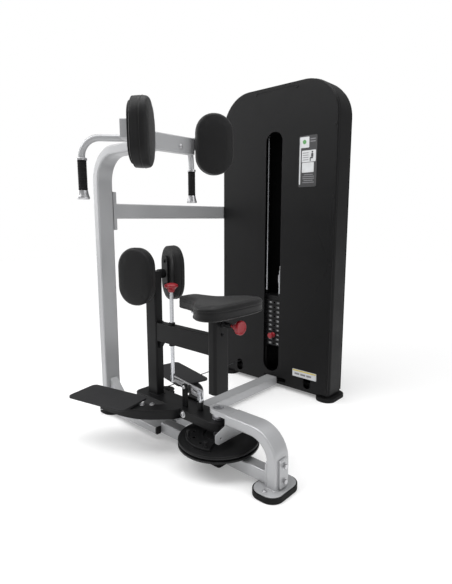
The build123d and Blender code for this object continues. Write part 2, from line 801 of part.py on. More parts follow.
TOP_Z = plate_z(N_PLATES)
with BuildPart() as top_plate:
    with Locations((TOWER_X, STACK_Y, TOP_Z)):
        Box(PLATE_W, 92, PLATE_T)
    fillet(top_plate.edges().filter_by(Axis.Z), radius=10)
    fillet(top_plate.edges().group_by(Axis.Z)[-1], radius=3)
    with Locations(*rods_at(TOP_Z + 14)):
        Cylinder(16, 40)
        Cylinder(GUIDE_ROD_R + 0.08, 80, mode=Mode.SUBTRACT)
    with Locations((TOWER_X, STACK_Y, TOP_Z)):
        Cylinder(STEM_R + FIT, 80, mode=Mode.SUBTRACT)
save("top_plate", top_plate)

# selector stem with its row of pin holes, and the cable shackle on top
with BuildPart() as selector_stem:
    with Locations((TOWER_X, STACK_Y, STEM_Z0)):
        Cylinder(STEM_R, STEM_LEN, align=ON_BASE)
    with Locations([(TOWER_X, STACK_Y, plate_z(i)) for i in range(N_PLATES)]):
        Cylinder(4.8, 40, rotation=ALONG_Y, mode=Mode.SUBTRACT)
    with Locations((TOWER_X, STACK_Y, SHACKLE_Z)):
        Cylinder(15, SHACKLE_H, align=ON_BASE)
    with Locations((TOWER_X, STACK_Y, EYE_Z)):
        Cylinder(8, EYE_H, align=ON_BASE)
    chamfer(selector_stem.edges().group_by(Axis.Z)[0], length=2)
save("selector_stem", selector_stem)

# selector pin, head towards the front: (radius, y from the stem axis)
PIN_PROFILE = (
    (0, 8), (3, 8), (4.2, 5), (4.2, -52), (11, -52), (14, -56), (14, -60),
    (9, -66), (9, -78), (16, -84), (16, -88), (12, -92), (0, -92),
)
PIN_CENTRE = (TOWER_X, STACK_Y, plate_z(PIN_PLATE))
save("selector_pin", turned(
    PIN_PROFILE,
    Plane(origin=PIN_CENTRE, x_dir=(1, 0, 0), z_dir=(0, 0, 1)),
    Axis(PIN_CENTRE, (0, 1, 0)),
))

# ===================== pulleys =====================

AXLE_R = 6.0
AXLE_LEN = 42.0

# each bend radius is that of the cable's centre line
FLOOR_BEND_R = 38.0
REDIRECT_X = CABLE_X + FLOOR_BEND_R
REDIRECT_Y = CABLE_Y + FLOOR_BEND_R

LOWER_BEND_R = 28.5
LOWER_Y = STACK_Y - LOWER_BEND_R
LOWER_Z = GROOVE_Z + LOWER_BEND_R

TOP_PULLEY_Z = 1500.0
TOP_PULLEY_R = 42.0
TOP_OFFSET = TOP_PULLEY_R - 4.5
TOP_OUTER_X = CABLE_X + TOP_OFFSET
TOP_INNER_X = TOWER_X - TOP_OFFSET

# half profiles from bore to groove floor: (radius, distance from mid plane)
REDIRECT_PROFILE = (
    (6.05, 9), (18, 9), (20, 6), (35, 6), (37, 9), (42.6, 9), (42.6, 7), (35.5, 2.6),
)
LOWER_PROFILE = (
    (6.05, 8), (14, 8), (16, 5), (22, 5), (24, 8), (32.5, 8), (32.5, 6.6), (25.5, 2.6),
)
TOP_PROFILE = (
    (6.05, 8), (18, 8), (20, 5), (32, 5), (34, 8), (42, 8), (42, 6.6), (35, 2.6),
)


def save_pulley(name, half_profile, centre, radial, normal, spin):
    """Pulley about the spin axis; radial and normal set the plane of its profile."""
    outline = [(radius, -offset) for radius, offset in half_profile]
    outline += reversed(half_profile)
    plane = Plane(origin=centre, x_dir=radial, z_dir=normal)
    save(name, turned(outline, plane, Axis(centre, spin)))


save_pulley(
    "redirect_pulley", REDIRECT_PROFILE, (REDIRECT_X, REDIRECT_Y, GROOVE_Z),
    radial=(1, 0, 0), normal=(0, 1, 0), spin=(0, 0, 1),
)
save_pulley(
    "lower_pulley", LOWER_PROFILE, (CABLE_X, LOWER_Y, LOWER_Z),
    radial=(0, 1, 0), normal=(0, 0, 1), spin=(1, 0, 0),
)
for name, pulley_x in (("top_pulley_outer", TOP_OUTER_X), ("top_pulley_inner", TOP_INNER_X)):
    save_pulley(
        name, TOP_PROFILE, (pulley_x, STACK_Y, TOP_PULLEY_Z),
        radial=(1, 0, 0), normal=(0, 0, 1), spin=(0, 1, 0),
    )

# bracket arm on the base box, with the spacer and axle of the redirect pulley
BRACKET_ARM_Z = 57.3
BRACKET_ARM_T = 7.0
REDIRECT_AXLE_Z = BRACKET_ARM_Z + BRACKET_ARM_T
with BuildPart() as redirect_bracket:
    with BuildSketch(Plane.XY.offset(BRACKET_ARM_Z)):
        with BuildLine():
            Polyline(
                (-575, -10), (-470, -10), (REDIRECT_X + 24, REDIRECT_Y),
                (REDIRECT_X - 24, REDIRECT_Y), close=True,
            )
        make_face()
        with Locations((REDIRECT_X, REDIRECT_Y)):
            Circle(24)
    extrude(amount=BRACKET_ARM_T)
    with Locations((REDIRECT_X, REDIRECT_Y, REDIRECT_AXLE_Z)):
        Cylinder(14, 23.7, align=ON_BASE)
    with Locations((REDIRECT_X, REDIRECT_Y, REDIRECT_AXLE_Z)):
        Cylinder(AXLE_R, 46, align=ON_BASE)
    with Locations((REDIRECT_X, REDIRECT_Y, REDIRECT_AXLE_Z + 44)):
        Cylinder(10, 5, align=ON_BASE)

# cheek plates for the tower pulleys, and the lower pair's feet
CHEEK_T = 4.0
CHEEK_OFFSET = 12.0
with BuildPart() as pulley_brackets:
    for pulley_x in (TOP_OUTER_X, TOP_INNER_X):
        for side in SIDES:
            with Locations((pulley_x, STACK_Y + side * CHEEK_OFFSET, 1470.5)):
                Box(44, CHEEK_T, 91)
    for side in SIDES:
        with Locations((CABLE_X + side * CHEEK_OFFSET, LOWER_Y + 9, 105)):
            Box(CHEEK_T, 40, 86)
    for side in SIDES:
        with Locations((CABLE_X + side * 21.6, LOWER_Y + 9, 65)):
            Box(20, 40, 6)
    for pulley_x in (TOP_OUTER_X, TOP_INNER_X):
        with Locations((pulley_x, STACK_Y, TOP_PULLEY_Z)):
            Cylinder(AXLE_R + 0.03, 60, rotation=ALONG_Y, mode=Mode.SUBTRACT)
    with Locations((CABLE_X, LOWER_Y, LOWER_Z)):
        Cylinder(AXLE_R + 0.03, 60, rotation=ALONG_X, mode=Mode.SUBTRACT)
save("pulley_brackets", redirect_bracket, pulley_brackets)

with BuildPart() as pulley_axles:
    for pulley_x in (TOP_OUTER_X, TOP_INNER_X):
        with Locations((pulley_x, STACK_Y, TOP_PULLEY_Z)):
            Cylinder(AXLE_R, AXLE_LEN, rotation=ALONG_Y)
    with Locations((CABLE_X, LOWER_Y, LOWER_Z)):
        Cylinder(AXLE_R, AXLE_LEN, rotation=ALONG_X)

# bolts of the leg clamp plate, and one on the user's side of the crossbar
CLAMP_FACE_X = LEG_X + LEG_FACE + FLANGE_T
with BuildPart() as frame_bolts:
    with Locations((CLAMP_FACE_X + 0.1, 0, 108), (CLAMP_FACE_X + 0.1, 0, 52)):
        Cylinder(10, 1.6, rotation=ALONG_X, align=ON_BASE)
    with Locations((CLAMP_FACE_X + 1.8, 0, 108), (CLAMP_FACE_X + 1.8, 0, 52)):
        Cylinder(7.5, 7, rotation=ALONG_X, align=ON_BASE)
    with Locations((CROSSBAR_X + CROSSBAR_D / 2 + 0.1, 55, 1223.5)):
        Cylinder(7, 5, rotation=ALONG_X, align=ON_BASE)
save("frame_bolts", frame_bolts, pulley_axles)

# ===================== cable =====================

CABLE_JOIN_Y = 500.0  # where the floor run hands over to the rising run
TOP_RUN_Z = TOP_PULLEY_Z + 37.7

# cam disc rim, redirect pulley, tower foot, head pulleys
with BuildPart() as cable_run:
    with BuildLine() as floor_path:
        Polyline(
            (0, CABLE_Y, GROOVE_Z), (CABLE_X, CABLE_Y, GROOVE_Z),
            (CABLE_X, CABLE_JOIN_Y, GROOVE_Z),
        )
        near_ends = floor_path.vertices().sort_by(Axis.Y)[0:2]
        fillet(near_ends.sort_by(Axis.X)[0], radius=FLOOR_BEND_R)
    with BuildSketch(Plane((0, CABLE_Y, GROOVE_Z), z_dir=(-1, 0, 0))):
        Circle(CABLE_R)
    sweep(path=floor_path.wires()[0])
    with BuildLine() as rise_path:
        Polyline(
            (CABLE_X, CABLE_JOIN_Y, GROOVE_Z), (CABLE_X, STACK_Y, GROOVE_Z),
            (CABLE_X, STACK_Y, TOP_PULLEY_Z),
        )
        far_ends = rise_path.vertices().sort_by(Axis.Y)[-2:]
        fillet(far_ends.sort_by(Axis.Z)[0], radius=LOWER_BEND_R)
    with BuildSketch(Plane((CABLE_X, CABLE_JOIN_Y, GROOVE_Z), z_dir=(0, 1, 0))):
        Circle(CABLE_R)
    sweep(path=rise_path.wires()[0])
    with BuildLine() as top_path:
        Polyline(
            (CABLE_X, STACK_Y, TOP_PULLEY_Z), (CABLE_X, STACK_Y, TOP_RUN_Z),
            (TOWER_X, STACK_Y, TOP_RUN_Z), (TOWER_X, STACK_Y, TOP_PULLEY_Z),
        )
        fillet(top_path.vertices().sort_by(Axis.Z)[-2:], radius=37.4)
    with BuildSketch(Plane((CABLE_X, STACK_Y, TOP_PULLEY_Z), z_dir=(0, 0, 1))):
        Circle(CABLE_R)
    sweep(path=top_path.wires()[0])
save("cable_run", cable_run)

# the last run of cable, from the inner head pulley down to the stem
STACK_CABLE_Z0 = EYE_Z + EYE_H + GAP
with BuildPart() as stack_cable:
    with Locations((TOWER_X, STACK_Y, STACK_CABLE_Z0)):
        Cylinder(CABLE_R, TOP_PULLEY_Z - 0.4 - STACK_CABLE_Z0, align=ON_BASE)
save("stack_cable", stack_cable)

# ===================== swivelling cam disc =====================

CAM_BORE_R = 22.05
INDEX_R = 99.0
INDEX_HOLE_R = 6.6
INDEX_ARC = dict(count=6, start_angle=120, angular_range=150, rotate=False, endpoint=True)

# disc with a cable groove in its rim and a raised hub: (radius, z)
CAM_PROFILE = (
    (CAM_BORE_R, CAM_Z0), (CAM_R - 2, CAM_Z0), (CAM_R, CAM_Z0 + 2),
    (CAM_R, GROOVE_Z - 6), (CAM_R - 9, GROOVE_Z - 3.2), (CAM_R - 12, GROOVE_Z - 2.6),
    (CAM_R - 12, GROOVE_Z + 2.6), (CAM_R - 9, GROOVE_Z + 3.2), (CAM_R, GROOVE_Z + 6),
    (CAM_R, CAM_Z1 - 3), (CAM_R - 3, CAM_Z1), (58, CAM_Z1),
    (54, INDEX_TOP), (CAM_BORE_R, INDEX_TOP),
)
with BuildPart() as cam_disc:
    with BuildSketch(upright_plane(0)):
        with BuildLine():
            Polyline(*CAM_PROFILE, close=True)
        make_face()
    revolve(axis=Axis.Z)
    with BuildSketch(Plane.XY.offset(CAM_Z1 - 14)):
        with PolarLocations(INDEX_R, **INDEX_ARC):
            Circle(INDEX_HOLE_R)
    extrude(amount=20, mode=Mode.SUBTRACT)

# raised index plate, a ring sector on the disc, with the start-position holes
OPEN_FROM, OPEN_TO = -62, 112  # degrees of the ring that are left out
with BuildPart() as index_plate:
    with BuildSketch(Plane.XY.offset(CAM_Z1)):
        ring_section(128, 60)
        with BuildLine():
            Polyline(
                (0, 0), polar_point(260, OPEN_FROM), (260, 0), (260, 260),
                polar_point(260, OPEN_TO), close=True,
            )
        make_face(mode=Mode.SUBTRACT)
        with PolarLocations(INDEX_R, **INDEX_ARC):
            Circle(INDEX_HOLE_R, mode=Mode.SUBTRACT)
    extrude(amount=INDEX_T)
    top_arcs = index_plate.edges().group_by(Axis.Z)[-1].filter_by(GeomType.CIRCLE)
    chamfer(top_arcs.sort_by(SortBy.RADIUS)[-1], length=1.5)

# upright stop pins on the index plate: (x, y, top z)
STOP_PINS = ((-64, -100, 151.5), (35, -106, 143))
with BuildPart() as disc_stop_pins:
    for pin_x, pin_y, pin_top in STOP_PINS:
        with Locations((pin_x, pin_y, INDEX_TOP)):
            Cylinder(5, pin_top - INDEX_TOP, align=ON_BASE)
            Cylinder(8, 4, align=ON_BASE)
        with Locations((pin_x, pin_y, pin_top - 5)):
            Cylinder(6.5, 5, align=ON_BASE)
save("cam_disc", cam_disc, index_plate, disc_stop_pins)

# bearing between the shaft and the disc
with BuildPart() as disc_bearing:
    with BuildSketch(Plane.XY.offset(CAM_Z0)):
        ring_section(CAM_BORE_R, SHAFT_R + FIT)
    extrude(amount=INDEX_TOP - CAM_Z0)
save("disc_bearing", disc_bearing)

# ===================== carriage arm =====================

ARM_BORE_R = 24.05
ARM_BEARING_FLANGE_T = 8.0

with BuildPart() as carriage_arm:
    with BuildSketch(Plane.XY.offset(ARM_Z0)):
        Circle(ARM_HALF)
        with Locations((-200, 0)):
            Rectangle(400, 2 * ARM_HALF)
        with Locations((-406, 0)):
            RectangleRounded(120, 2 * ARM_HALF, 26)
    extrude(amount=ARM_Z1 - ARM_Z0)
    fillet(carriage_arm.edges().group_by(Axis.Z)[-1], radius=5)
    with Locations((0, 0, 175)):
        Cylinder(ARM_BORE_R, 80, mode=Mode.SUBTRACT)
    with Locations((PLUNGER_X, 0, 175)):
        Cylinder(9, 80, mode=Mode.SUBTRACT)
save("carriage_arm", carriage_arm)

# flanged bearing, its flange under the arm
with BuildPart() as arm_bearing:
    with BuildSketch(Plane.XY.offset(ARM_Z0 - ARM_BEARING_FLANGE_T)):
        ring_section(ARM_BORE_R, SHAFT_R + FIT)
    extrude(amount=ARM_Z1 - ARM_Z0 + ARM_BEARING_FLANGE_T + 1)
    with BuildSketch(Plane.XY.offset(ARM_Z0 - ARM_BEARING_FLANGE_T)):
        ring_section(38, SHAFT_R + FIT)
    extrude(amount=ARM_BEARING_FLANGE_T)
save("arm_bearing", arm_bearing)

# ===================== foot plates =====================

TOE_OUT = 13.0
FOOT_ARM_Z0 = 157.0
FOOT_ARM_T = 40.0
CLEAT_Z = FOOT_ARM_Z0 + FOOT_ARM_T
FOOT_ARM_ROOT_Y = ARM_HALF + 0.1

# edges of a curved arm seen from above, from root to tip and back: (x, y)
FOOT_ARM_OUTER = (
    (-158, FOOT_ARM_ROOT_Y), (-190, 108), (-262, 172), (-360, 208), (-470, 222),
)
FOOT_ARM_INNER = (
    (-470, 176), (-370, 162), (-300, 128), (-256, 92), (-236, FOOT_ARM_ROOT_Y),
)


def foot_plane(side, z):
    """Level plane centred on a foot board, its x along the toes."""
    angle = math.radians(180 - side * TOE_OUT)
    x_dir = (math.cos(angle), math.sin(angle), 0)
    return Plane(origin=(-452, side * 197, z), x_dir=x_dir, z_dir=(0, 0, 1))


# curved arms that carry the foot boards
with BuildPart() as foot_arms:
    for side in SIDES:
        outer_edge = [(x, side * y) for x, y in FOOT_ARM_OUTER]
        inner_edge = [(x, side * y) for x, y in FOOT_ARM_INNER]
        with BuildSketch(Plane.XY.offset(FOOT_ARM_Z0)):
            with BuildLine():
                Spline(*outer_edge, tangents=((0, side), (-1, side * 0.12)))
                Line(outer_edge[-1], inner_edge[0])
                Spline(*inner_edge, tangents=((1, -side * 0.12), (0.1, -side)))
                Line(inner_edge[-1], outer_edge[0])
            make_face()
        extrude(amount=FOOT_ARM_T)
    arm_top_edges = foot_arms.edges().group_by(Axis.Z)[-1]
    chamfer(arm_top_edges.filter_by(lambda e: abs(e.center().Y) > 60), length=2.5)

# cleats between the foot boards and the curved arms
CLEAT_T = 4.0
with BuildPart() as foot_cleats:
    for side in SIDES:
        with BuildSketch(foot_plane(side, CLEAT_Z)):
            RectangleRounded(160, 44, 4)
        extrude(amount=CLEAT_T)
        with BuildSketch(foot_plane(side, CLEAT_Z - 25)):
            with Locations((66, 0)):
                RectangleRounded(40, 40, 6)
        extrude(amount=25)
save("foot_arms", foot_arms, foot_cleats)

with BuildPart() as foot_boards:
    for side in SIDES:
        with BuildSketch(foot_plane(side, CLEAT_Z + CLEAT_T)):
            RectangleRounded(306, 159, 22)
        extrude(amount=8)
    fillet(foot_boards.edges().group_by(Axis.Z)[-1], radius=2)
save("foot_boards", foot_boards)

# ===================== knee column and pads =====================

KNEE_ANGLE = 18.0
KNEE_COS = math.cos(math.radians(KNEE_ANGLE))
KNEE_SIN = math.sin(math.radians(KNEE_ANGLE))


def knee_plane(side, depth):
    """Plane parallel to a knee pad, its normal pointing outwards."""
    normal = (KNEE_SIN, side * KNEE_COS, 0)
    origin = (-362 + normal[0] * depth, side * 94 + normal[1] * depth, KNEE_Z)
    return Plane(origin=origin, x_dir=(side * KNEE_COS, -KNEE_SIN, 0), z_dir=normal)


with BuildPart() as knee_column:
    with BuildSketch(Plane.XY.offset(ARM_Z1)):
        with Locations((COL_X, 0)):
            tube_section(COL_W, COL_D, COL_CORNER)
    extrude(amount=COL_TOP_Z - ARM_Z1)

with BuildPart() as column_cap:
    with BuildSketch(Plane.XY.offset(COL_TOP_Z)):
        with Locations((COL_X, 0)):
            RectangleRounded(COL_W, COL_D, COL_CORNER)
    extrude(amount=5)
    fillet(column_cap.edges().group_by(Axis.Z)[-1], radius=3)

# round stubs that carry the knee pads, one on each side of the column
with BuildPart() as knee_bar:
    for side in SIDES:
        with Locations((COL_X + 8, side * 34.3, KNEE_Z)):
            Cylinder(20, 28, rotation=ALONG_Y)

# backing plates of the knee pads, with two bolt heads each
with BuildPart() as knee_pad_plates:
    for side in SIDES:
        with BuildSketch(knee_plane(side, -36)):
            RectangleRounded(58, 150, 26)
        extrude(amount=10)
        with BuildSketch(knee_plane(side, -41)):
            with Locations((0, 52), (0, -52)):
                Circle(7)
        extrude(amount=5)
save("knee_column", knee_column, column_cap, knee_bar, knee_pad_plates)

for side, name in zip(SIDES, ("knee_pad_left", "knee_pad_right")):
    with BuildPart() as knee_pad:
        with BuildSketch(knee_plane(side, -25)):
            RectangleRounded(157, 236, 77.5)
        extrude(amount=54)
        fillet(knee_pad.edges(), radius=13)
    save(name, knee_pad)

# ===================== seat beam and post =====================

# beam from the knee column to the seat post, bored for the release rod
with BuildPart() as seat_beam:
    with BuildSketch(Plane.YZ.offset(COL_FACE_X)):
        with Locations((0, BEAM_MID_Z)):
            tube_section(40, BEAM_Z1 - BEAM_Z0, 6)
    extrude(amount=-COL_FACE_X - POST_X / 2)
    with Locations((ROD_X, 0, BEAM_MID_Z)):
        Cylinder(11, 100, mode=Mode.SUBTRACT)

GUSSET_T = 12.0
with BuildPart() as beam_gusset:
    with BuildSketch(Plane.XZ.offset(-GUSSET_T / 2)):
        with BuildLine():
            Polyline(
                (COL_FACE_X, BEAM_Z0), (COL_FACE_X, BEAM_Z0 - 34),
                (COL_X + 44, BEAM_Z0 - 30), (COL_X + 66, BEAM_Z0), close=True,
            )
        make_face()
    extrude(amount=GUSSET_T)
save("seat_beam", seat_beam, beam_gusset)

POST_WALL = 3.5
with BuildPart() as seat_post:
    with BuildSketch(Plane.XY.offset(POST_Z0)):
        tube_section(POST_X, POST_Y, 12, wall=POST_WALL)
    extrude(amount=POST_Z1 - POST_Z0)
    with Locations((POST_X / 2, 0, KNOB_Z)):
        Cylinder(9, 12, rotation=ALONG_X, mode=Mode.SUBTRACT)
    with Locations((POST_X / 2, 0, KNOB_Z - HEIGHT_PITCH)):
        Cylinder(6.5, 12, rotation=ALONG_X, mode=Mode.SUBTRACT)

# stepped socket for the seat knob: (outer radius, length)
KNOB_PIN_R = 5.0
with BuildPart() as knob_socket:
    for socket_radius, socket_length in ((13, 10), (9.5, 46)):
        with BuildSketch(Plane.YZ.offset(POST_X / 2 - 0.2)):
            with Locations((0, KNOB_Z)):
                ring_section(socket_radius, KNOB_PIN_R + FIT)
        extrude(amount=socket_length)
save("seat_post", seat_post, knob_socket)

# knob that locks the seat height: (x, radius)
KNOB_PROFILE = (
    (16.6, 0), (16.6, 3.5), (18, KNOB_PIN_R), (78, KNOB_PIN_R), (78, 10), (84, 13), (96, 15),
    (99, 24), (102, 26.5), (111, 26.5), (114.5, 25), (115.5, 21.5), (112, 18.5), (111, 0),
)
save("seat_knob", turned(
    KNOB_PROFILE, upright_plane(0, KNOB_Z), Axis((0, 0, KNOB_Z), (1, 0, 0))
))

# ===================== seat =====================

# tube that slides in the post, with the row of height holes
STEM_TUBE_Z0 = 300.0
with BuildPart() as seat_stem:
    with BuildSketch(Plane.XY.offset(STEM_TUBE_Z0)):
        tube_section(POST_X - 7.2, POST_Y - 7.2, 8.4, wall=3.9, inner_corner=4)
    extrude(amount=POST_Z1 - STEM_TUBE_Z0)
    with Locations([(POST_X / 2 - 4, 0, KNOB_Z - HEIGHT_PITCH * i) for i in range(5)]):
        Cylinder(5.4, 14, rotation=ALONG_X, mode=Mode.SUBTRACT)

SEAT_PLATE_T = 6.0
with BuildPart() as seat_bracket:
    with Locations((-12, 0, POST_Z1 + GAP + SEAT_PLATE_T / 2)):
        Box(180, 96, SEAT_PLATE_T)
    fillet(seat_bracket.edges().filter_by(Axis.Z), radius=12)
save("seat_stem", seat_stem, seat_bracket)

# left edge of the seat from its narrow front (-X) to its wide rear: (x, y)
SEAT_LEFT = [
    (-173, -41), (-112, -50), (-62, -68), (-20, -108),
    (20, -147), (64, -158), (102, -135), (118, -74),
]
SEAT_OUTLINE = SEAT_LEFT + [(121, 0)] + [(x, -y) for x, y in reversed(SEAT_LEFT)]
with BuildPart() as seat_pad:
    with BuildSketch(Plane.XY.offset(POST_Z1 + SEAT_PLATE_T + 2 * GAP)):
        with BuildLine():
            Spline(*SEAT_OUTLINE)
            ThreePointArc(SEAT_OUTLINE[-1], (-184, 0), SEAT_OUTLINE[0])
        make_face()
    extrude(amount=53)
    fillet(seat_pad.edges().group_by(Axis.Z)[-1], radius=10)
save("seat_pad", seat_pad)

# ===================== release mechanism =====================

CLEVIS_Z = 283.0
CLEVIS_PIN_R = 3.2
PLUNGER_PIN_Z = 258.0
PLUNGER_R = 6.0

# bushes that guide the release rod through the seat beam
BUSH_LIP = 9.0
with BuildPart() as rod_bushes:
    with Locations((ROD_X, 0, BEAM_Z0 - BUSH_LIP)):
        Cylinder(10.9, BEAM_Z1 - BEAM_Z0 + 2 * BUSH_LIP, align=ON_BASE)
    with Locations((ROD_X, 0, BEAM_Z0 - BUSH_LIP), (ROD_X, 0, BEAM_Z1 + 0.1)):
        Cylinder(13.5, BUSH_LIP - 0.1, align=ON_BASE)
    with Locations((ROD_X, 0, BEAM_Z0 - 20)):
        Cylinder(ROD_R + FIT, BEAM_Z1 - BEAM_Z0 + 40, align=ON_BASE, mode=Mode.SUBTRACT)

# housing on and through the carriage arm for the index plunger
HOUSING_DROP = 4.0
with BuildPart() as plunger_housing:
    with BuildSketch(Plane.XY.offset(ARM_Z1 + FIT)):
        with Locations((PLUNGER_X, 0)):
            ring_section(12, PLUNGER_R + FIT)
    extrude(amount=33)
    with BuildSketch(Plane.XY.offset(ARM_Z0 - HOUSING_DROP)):
        with Locations((PLUNGER_X, 0)):
            ring_section(9 - FIT, PLUNGER_R + FIT)
    extrude(amount=ARM_Z1 + 0.1 - ARM_Z0 + HOUSING_DROP)
    housing_top = plunger_housing.edges().group_by(Axis.Z)[-1]
    chamfer(housing_top.sort_by(SortBy.RADIUS)[-1], length=2)
save("guide_bushes", rod_bushes, plunger_housing)

# rod with a slot near its lower end for the lever
with BuildPart() as release_rod:
    with Locations((ROD_X, 0, 264)):
        Cylinder(ROD_R, 384, align=ON_BASE)
    chamfer(release_rod.edges().group_by(Axis.Z)[0], length=1.5)
    with Locations((ROD_X, 0, 284)):
        Box(40, 9, 40, mode=Mode.SUBTRACT)

with BuildPart() as rod_clevis_pin:
    with Locations((ROD_X, 0, CLEVIS_Z)):
        Cylinder(CLEVIS_PIN_R, 22, rotation=ALONG_Y)
save("release_rod", release_rod, rod_clevis_pin)

# mushroom knob on top of the rod, drawn as (radius, z)
with BuildPart() as release_knob:
    with BuildSketch(upright_plane(ROD_X)):
        with BuildLine():
            Polyline((0, 648.2), (11, 648.2), (13, 652))
            Spline((13, 652), (17, 661), (28, 670))
            Polyline((28, 670), (29, 675), (27, 679))
            Spline((27, 679), (16, 684), (0, 685.5))
            Line((0, 685.5), (0, 648.2))
        make_face()
    revolve(axis=Axis((ROD_X, 0, 0), (0, 0, 1)))
save("release_knob", release_knob)

PIVOT_R = 5.0
with BuildPart() as lever_post:
    with Locations((LEVER_X, -17, ARM_Z1)):
        Box(25, 10, LEVER_Z + 13 - ARM_Z1, align=ON_BASE)
    fillet(lever_post.edges().filter_by(Axis.Y).sort_by(Axis.Z)[-2:], radius=8)
    with Locations((LEVER_X, -17, LEVER_Z)):
        Cylinder(PIVOT_R + FIT, 30, rotation=ALONG_Y, mode=Mode.SUBTRACT)
save("lever_post", lever_post)

# flat lever: rod end at -X, plunger end at +X, with slotted ends: (x, z)
LEVER_T = 7.0
LEVER_OUTLINE = (
    (ROD_X - 12, 291), (ROD_X - 12, 275), (ROD_X + 30, 268), (LEVER_X - 14, 258),
    (LEVER_X + 28, 243), (PLUNGER_X - 22, 241), (PLUNGER_X + 10, 244), (PLUNGER_X + 14, 250),
    (PLUNGER_X + 14, 268), (PLUNGER_X + 4, 276), (LEVER_X, 284), (ROD_X, 296),
)
with BuildPart() as release_lever:
    with BuildSketch(Plane.XZ.offset(LEVER_T / 2)):
        with BuildLine():
            Polyline(*LEVER_OUTLINE, close=True)
        make_face()
        with Locations((LEVER_X, LEVER_Z)):
            Circle(PIVOT_R + FIT, mode=Mode.SUBTRACT)
        with Locations((ROD_X, CLEVIS_Z)):
            SlotOverall(20, 9, rotation=0, mode=Mode.SUBTRACT)
        with Locations((PLUNGER_X, PLUNGER_PIN_Z)):
            SlotOverall(22, 9, rotation=0, mode=Mode.SUBTRACT)
        with Locations((LEVER_X + 38, 262)):
            SlotOverall(30, 8, rotation=-10, mode=Mode.SUBTRACT)
    extrude(amount=-LEVER_T)
save("release_lever", release_lever)

# plunger that drops towards the index holes, with a collar and a fork for the lever
with BuildPart() as index_plunger:
    with BuildSketch(Plane.XY.offset(INDEX_TOP + 0.6)):
        with Locations((PLUNGER_X, 0)):
            Circle(PLUNGER_R)
    extrude(amount=116)
    with BuildSketch(Plane.XY.offset(229)):
        with Locations((PLUNGER_X, 0)):
            Circle(9)
    extrude(amount=4.5)
    for side in SIDES:
        with Locations((PLUNGER_X, side * 7.5, 252)):
            Box(17, 5, 40)
    with Locations((PLUNGER_X, 0, 233)):
        Box(17, 20, 5)
    with Locations((PLUNGER_X, 0, PLUNGER_PIN_Z)):
        Cylinder(CLEVIS_PIN_R, 24, rotation=ALONG_Y)
    chamfer(index_plunger.edges().group_by(Axis.Z)[0], length=2)
save("index_plunger", index_plunger)

# ===================== carriage bolts =====================

# bolt heads on the sides of the carriage arm and on top of the foot arms
with BuildPart() as carriage_bolts:
    for side in SIDES:
        with Locations((-147, side * (ARM_HALF + 4.1), 174)):
            Cylinder(10, 8, rotation=ALONG_Y)
        with Locations((-300, side * 136, CLEAT_Z + 0.1), (-270, side * 108, CLEAT_Z + 0.1)):
            Cylinder(7.5, 6, align=ON_BASE)

# bolt through lever and post, with a head at each end
with BuildPart() as lever_pivot_bolt:
    with Locations((LEVER_X, -9, LEVER_Z)):
        Cylinder(PIVOT_R, 29, rotation=ALONG_Y)
    for head_y in (-24.5, 7.5):
        with Locations((LEVER_X, head_y, LEVER_Z)):
            Cylinder(8, 5, rotation=ALONG_Y)
save("carriage_bolts", carriage_bolts, lever_pivot_bolt)
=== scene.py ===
"""A gym machine: a seat and knee pads on a carriage, chest pads on the frame, and a tower
with a weight stack. Metres, +Z up, floor at z = 0. The carriage is centred on y = 0, the
chest pads face +X, the knee pads face away from y = 0, and the placards face -Y."""
import json
import math
import random
from collections import namedtuple

import bmesh
import bpy
import numpy as np
from mathutils import Matrix, Vector
from mathutils.bvhtree import BVHTree

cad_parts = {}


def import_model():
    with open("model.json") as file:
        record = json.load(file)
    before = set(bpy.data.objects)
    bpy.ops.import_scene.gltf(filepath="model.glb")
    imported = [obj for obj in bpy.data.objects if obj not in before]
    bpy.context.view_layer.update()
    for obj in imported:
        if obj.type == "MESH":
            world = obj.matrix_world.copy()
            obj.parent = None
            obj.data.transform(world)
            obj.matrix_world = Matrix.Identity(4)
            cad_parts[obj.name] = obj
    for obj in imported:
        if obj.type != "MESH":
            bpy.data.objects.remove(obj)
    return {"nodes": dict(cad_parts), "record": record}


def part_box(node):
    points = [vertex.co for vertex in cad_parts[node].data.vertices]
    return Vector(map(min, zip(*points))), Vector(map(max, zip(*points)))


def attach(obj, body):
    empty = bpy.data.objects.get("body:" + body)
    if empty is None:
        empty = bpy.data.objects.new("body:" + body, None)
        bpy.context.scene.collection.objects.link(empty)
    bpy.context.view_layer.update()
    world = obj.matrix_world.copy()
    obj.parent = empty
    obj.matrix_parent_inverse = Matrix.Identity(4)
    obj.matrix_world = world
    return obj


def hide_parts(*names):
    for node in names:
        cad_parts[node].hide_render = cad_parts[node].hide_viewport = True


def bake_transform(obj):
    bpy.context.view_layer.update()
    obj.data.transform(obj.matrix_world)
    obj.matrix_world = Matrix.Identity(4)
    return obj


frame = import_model()
random.seed(7)
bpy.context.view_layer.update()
SCENE = bpy.context.scene
NODES = frame["nodes"]
RECORD = frame["record"]
BODY = {node: body for body, nodes in RECORD["behaviour"]["bodies"].items() for node in nodes}
NODE_SLOT = {part["node"]: part["material_slot"] for part in RECORD["subparts"]}
MATERIALS = {}


# ------------------------------------------------------------------ material tools
def is_socket(value):
    return hasattr(value, "links")


def scaled(color, gain, lift=0.0):
    return tuple(min(1.0, channel * gain + lift) for channel in color)


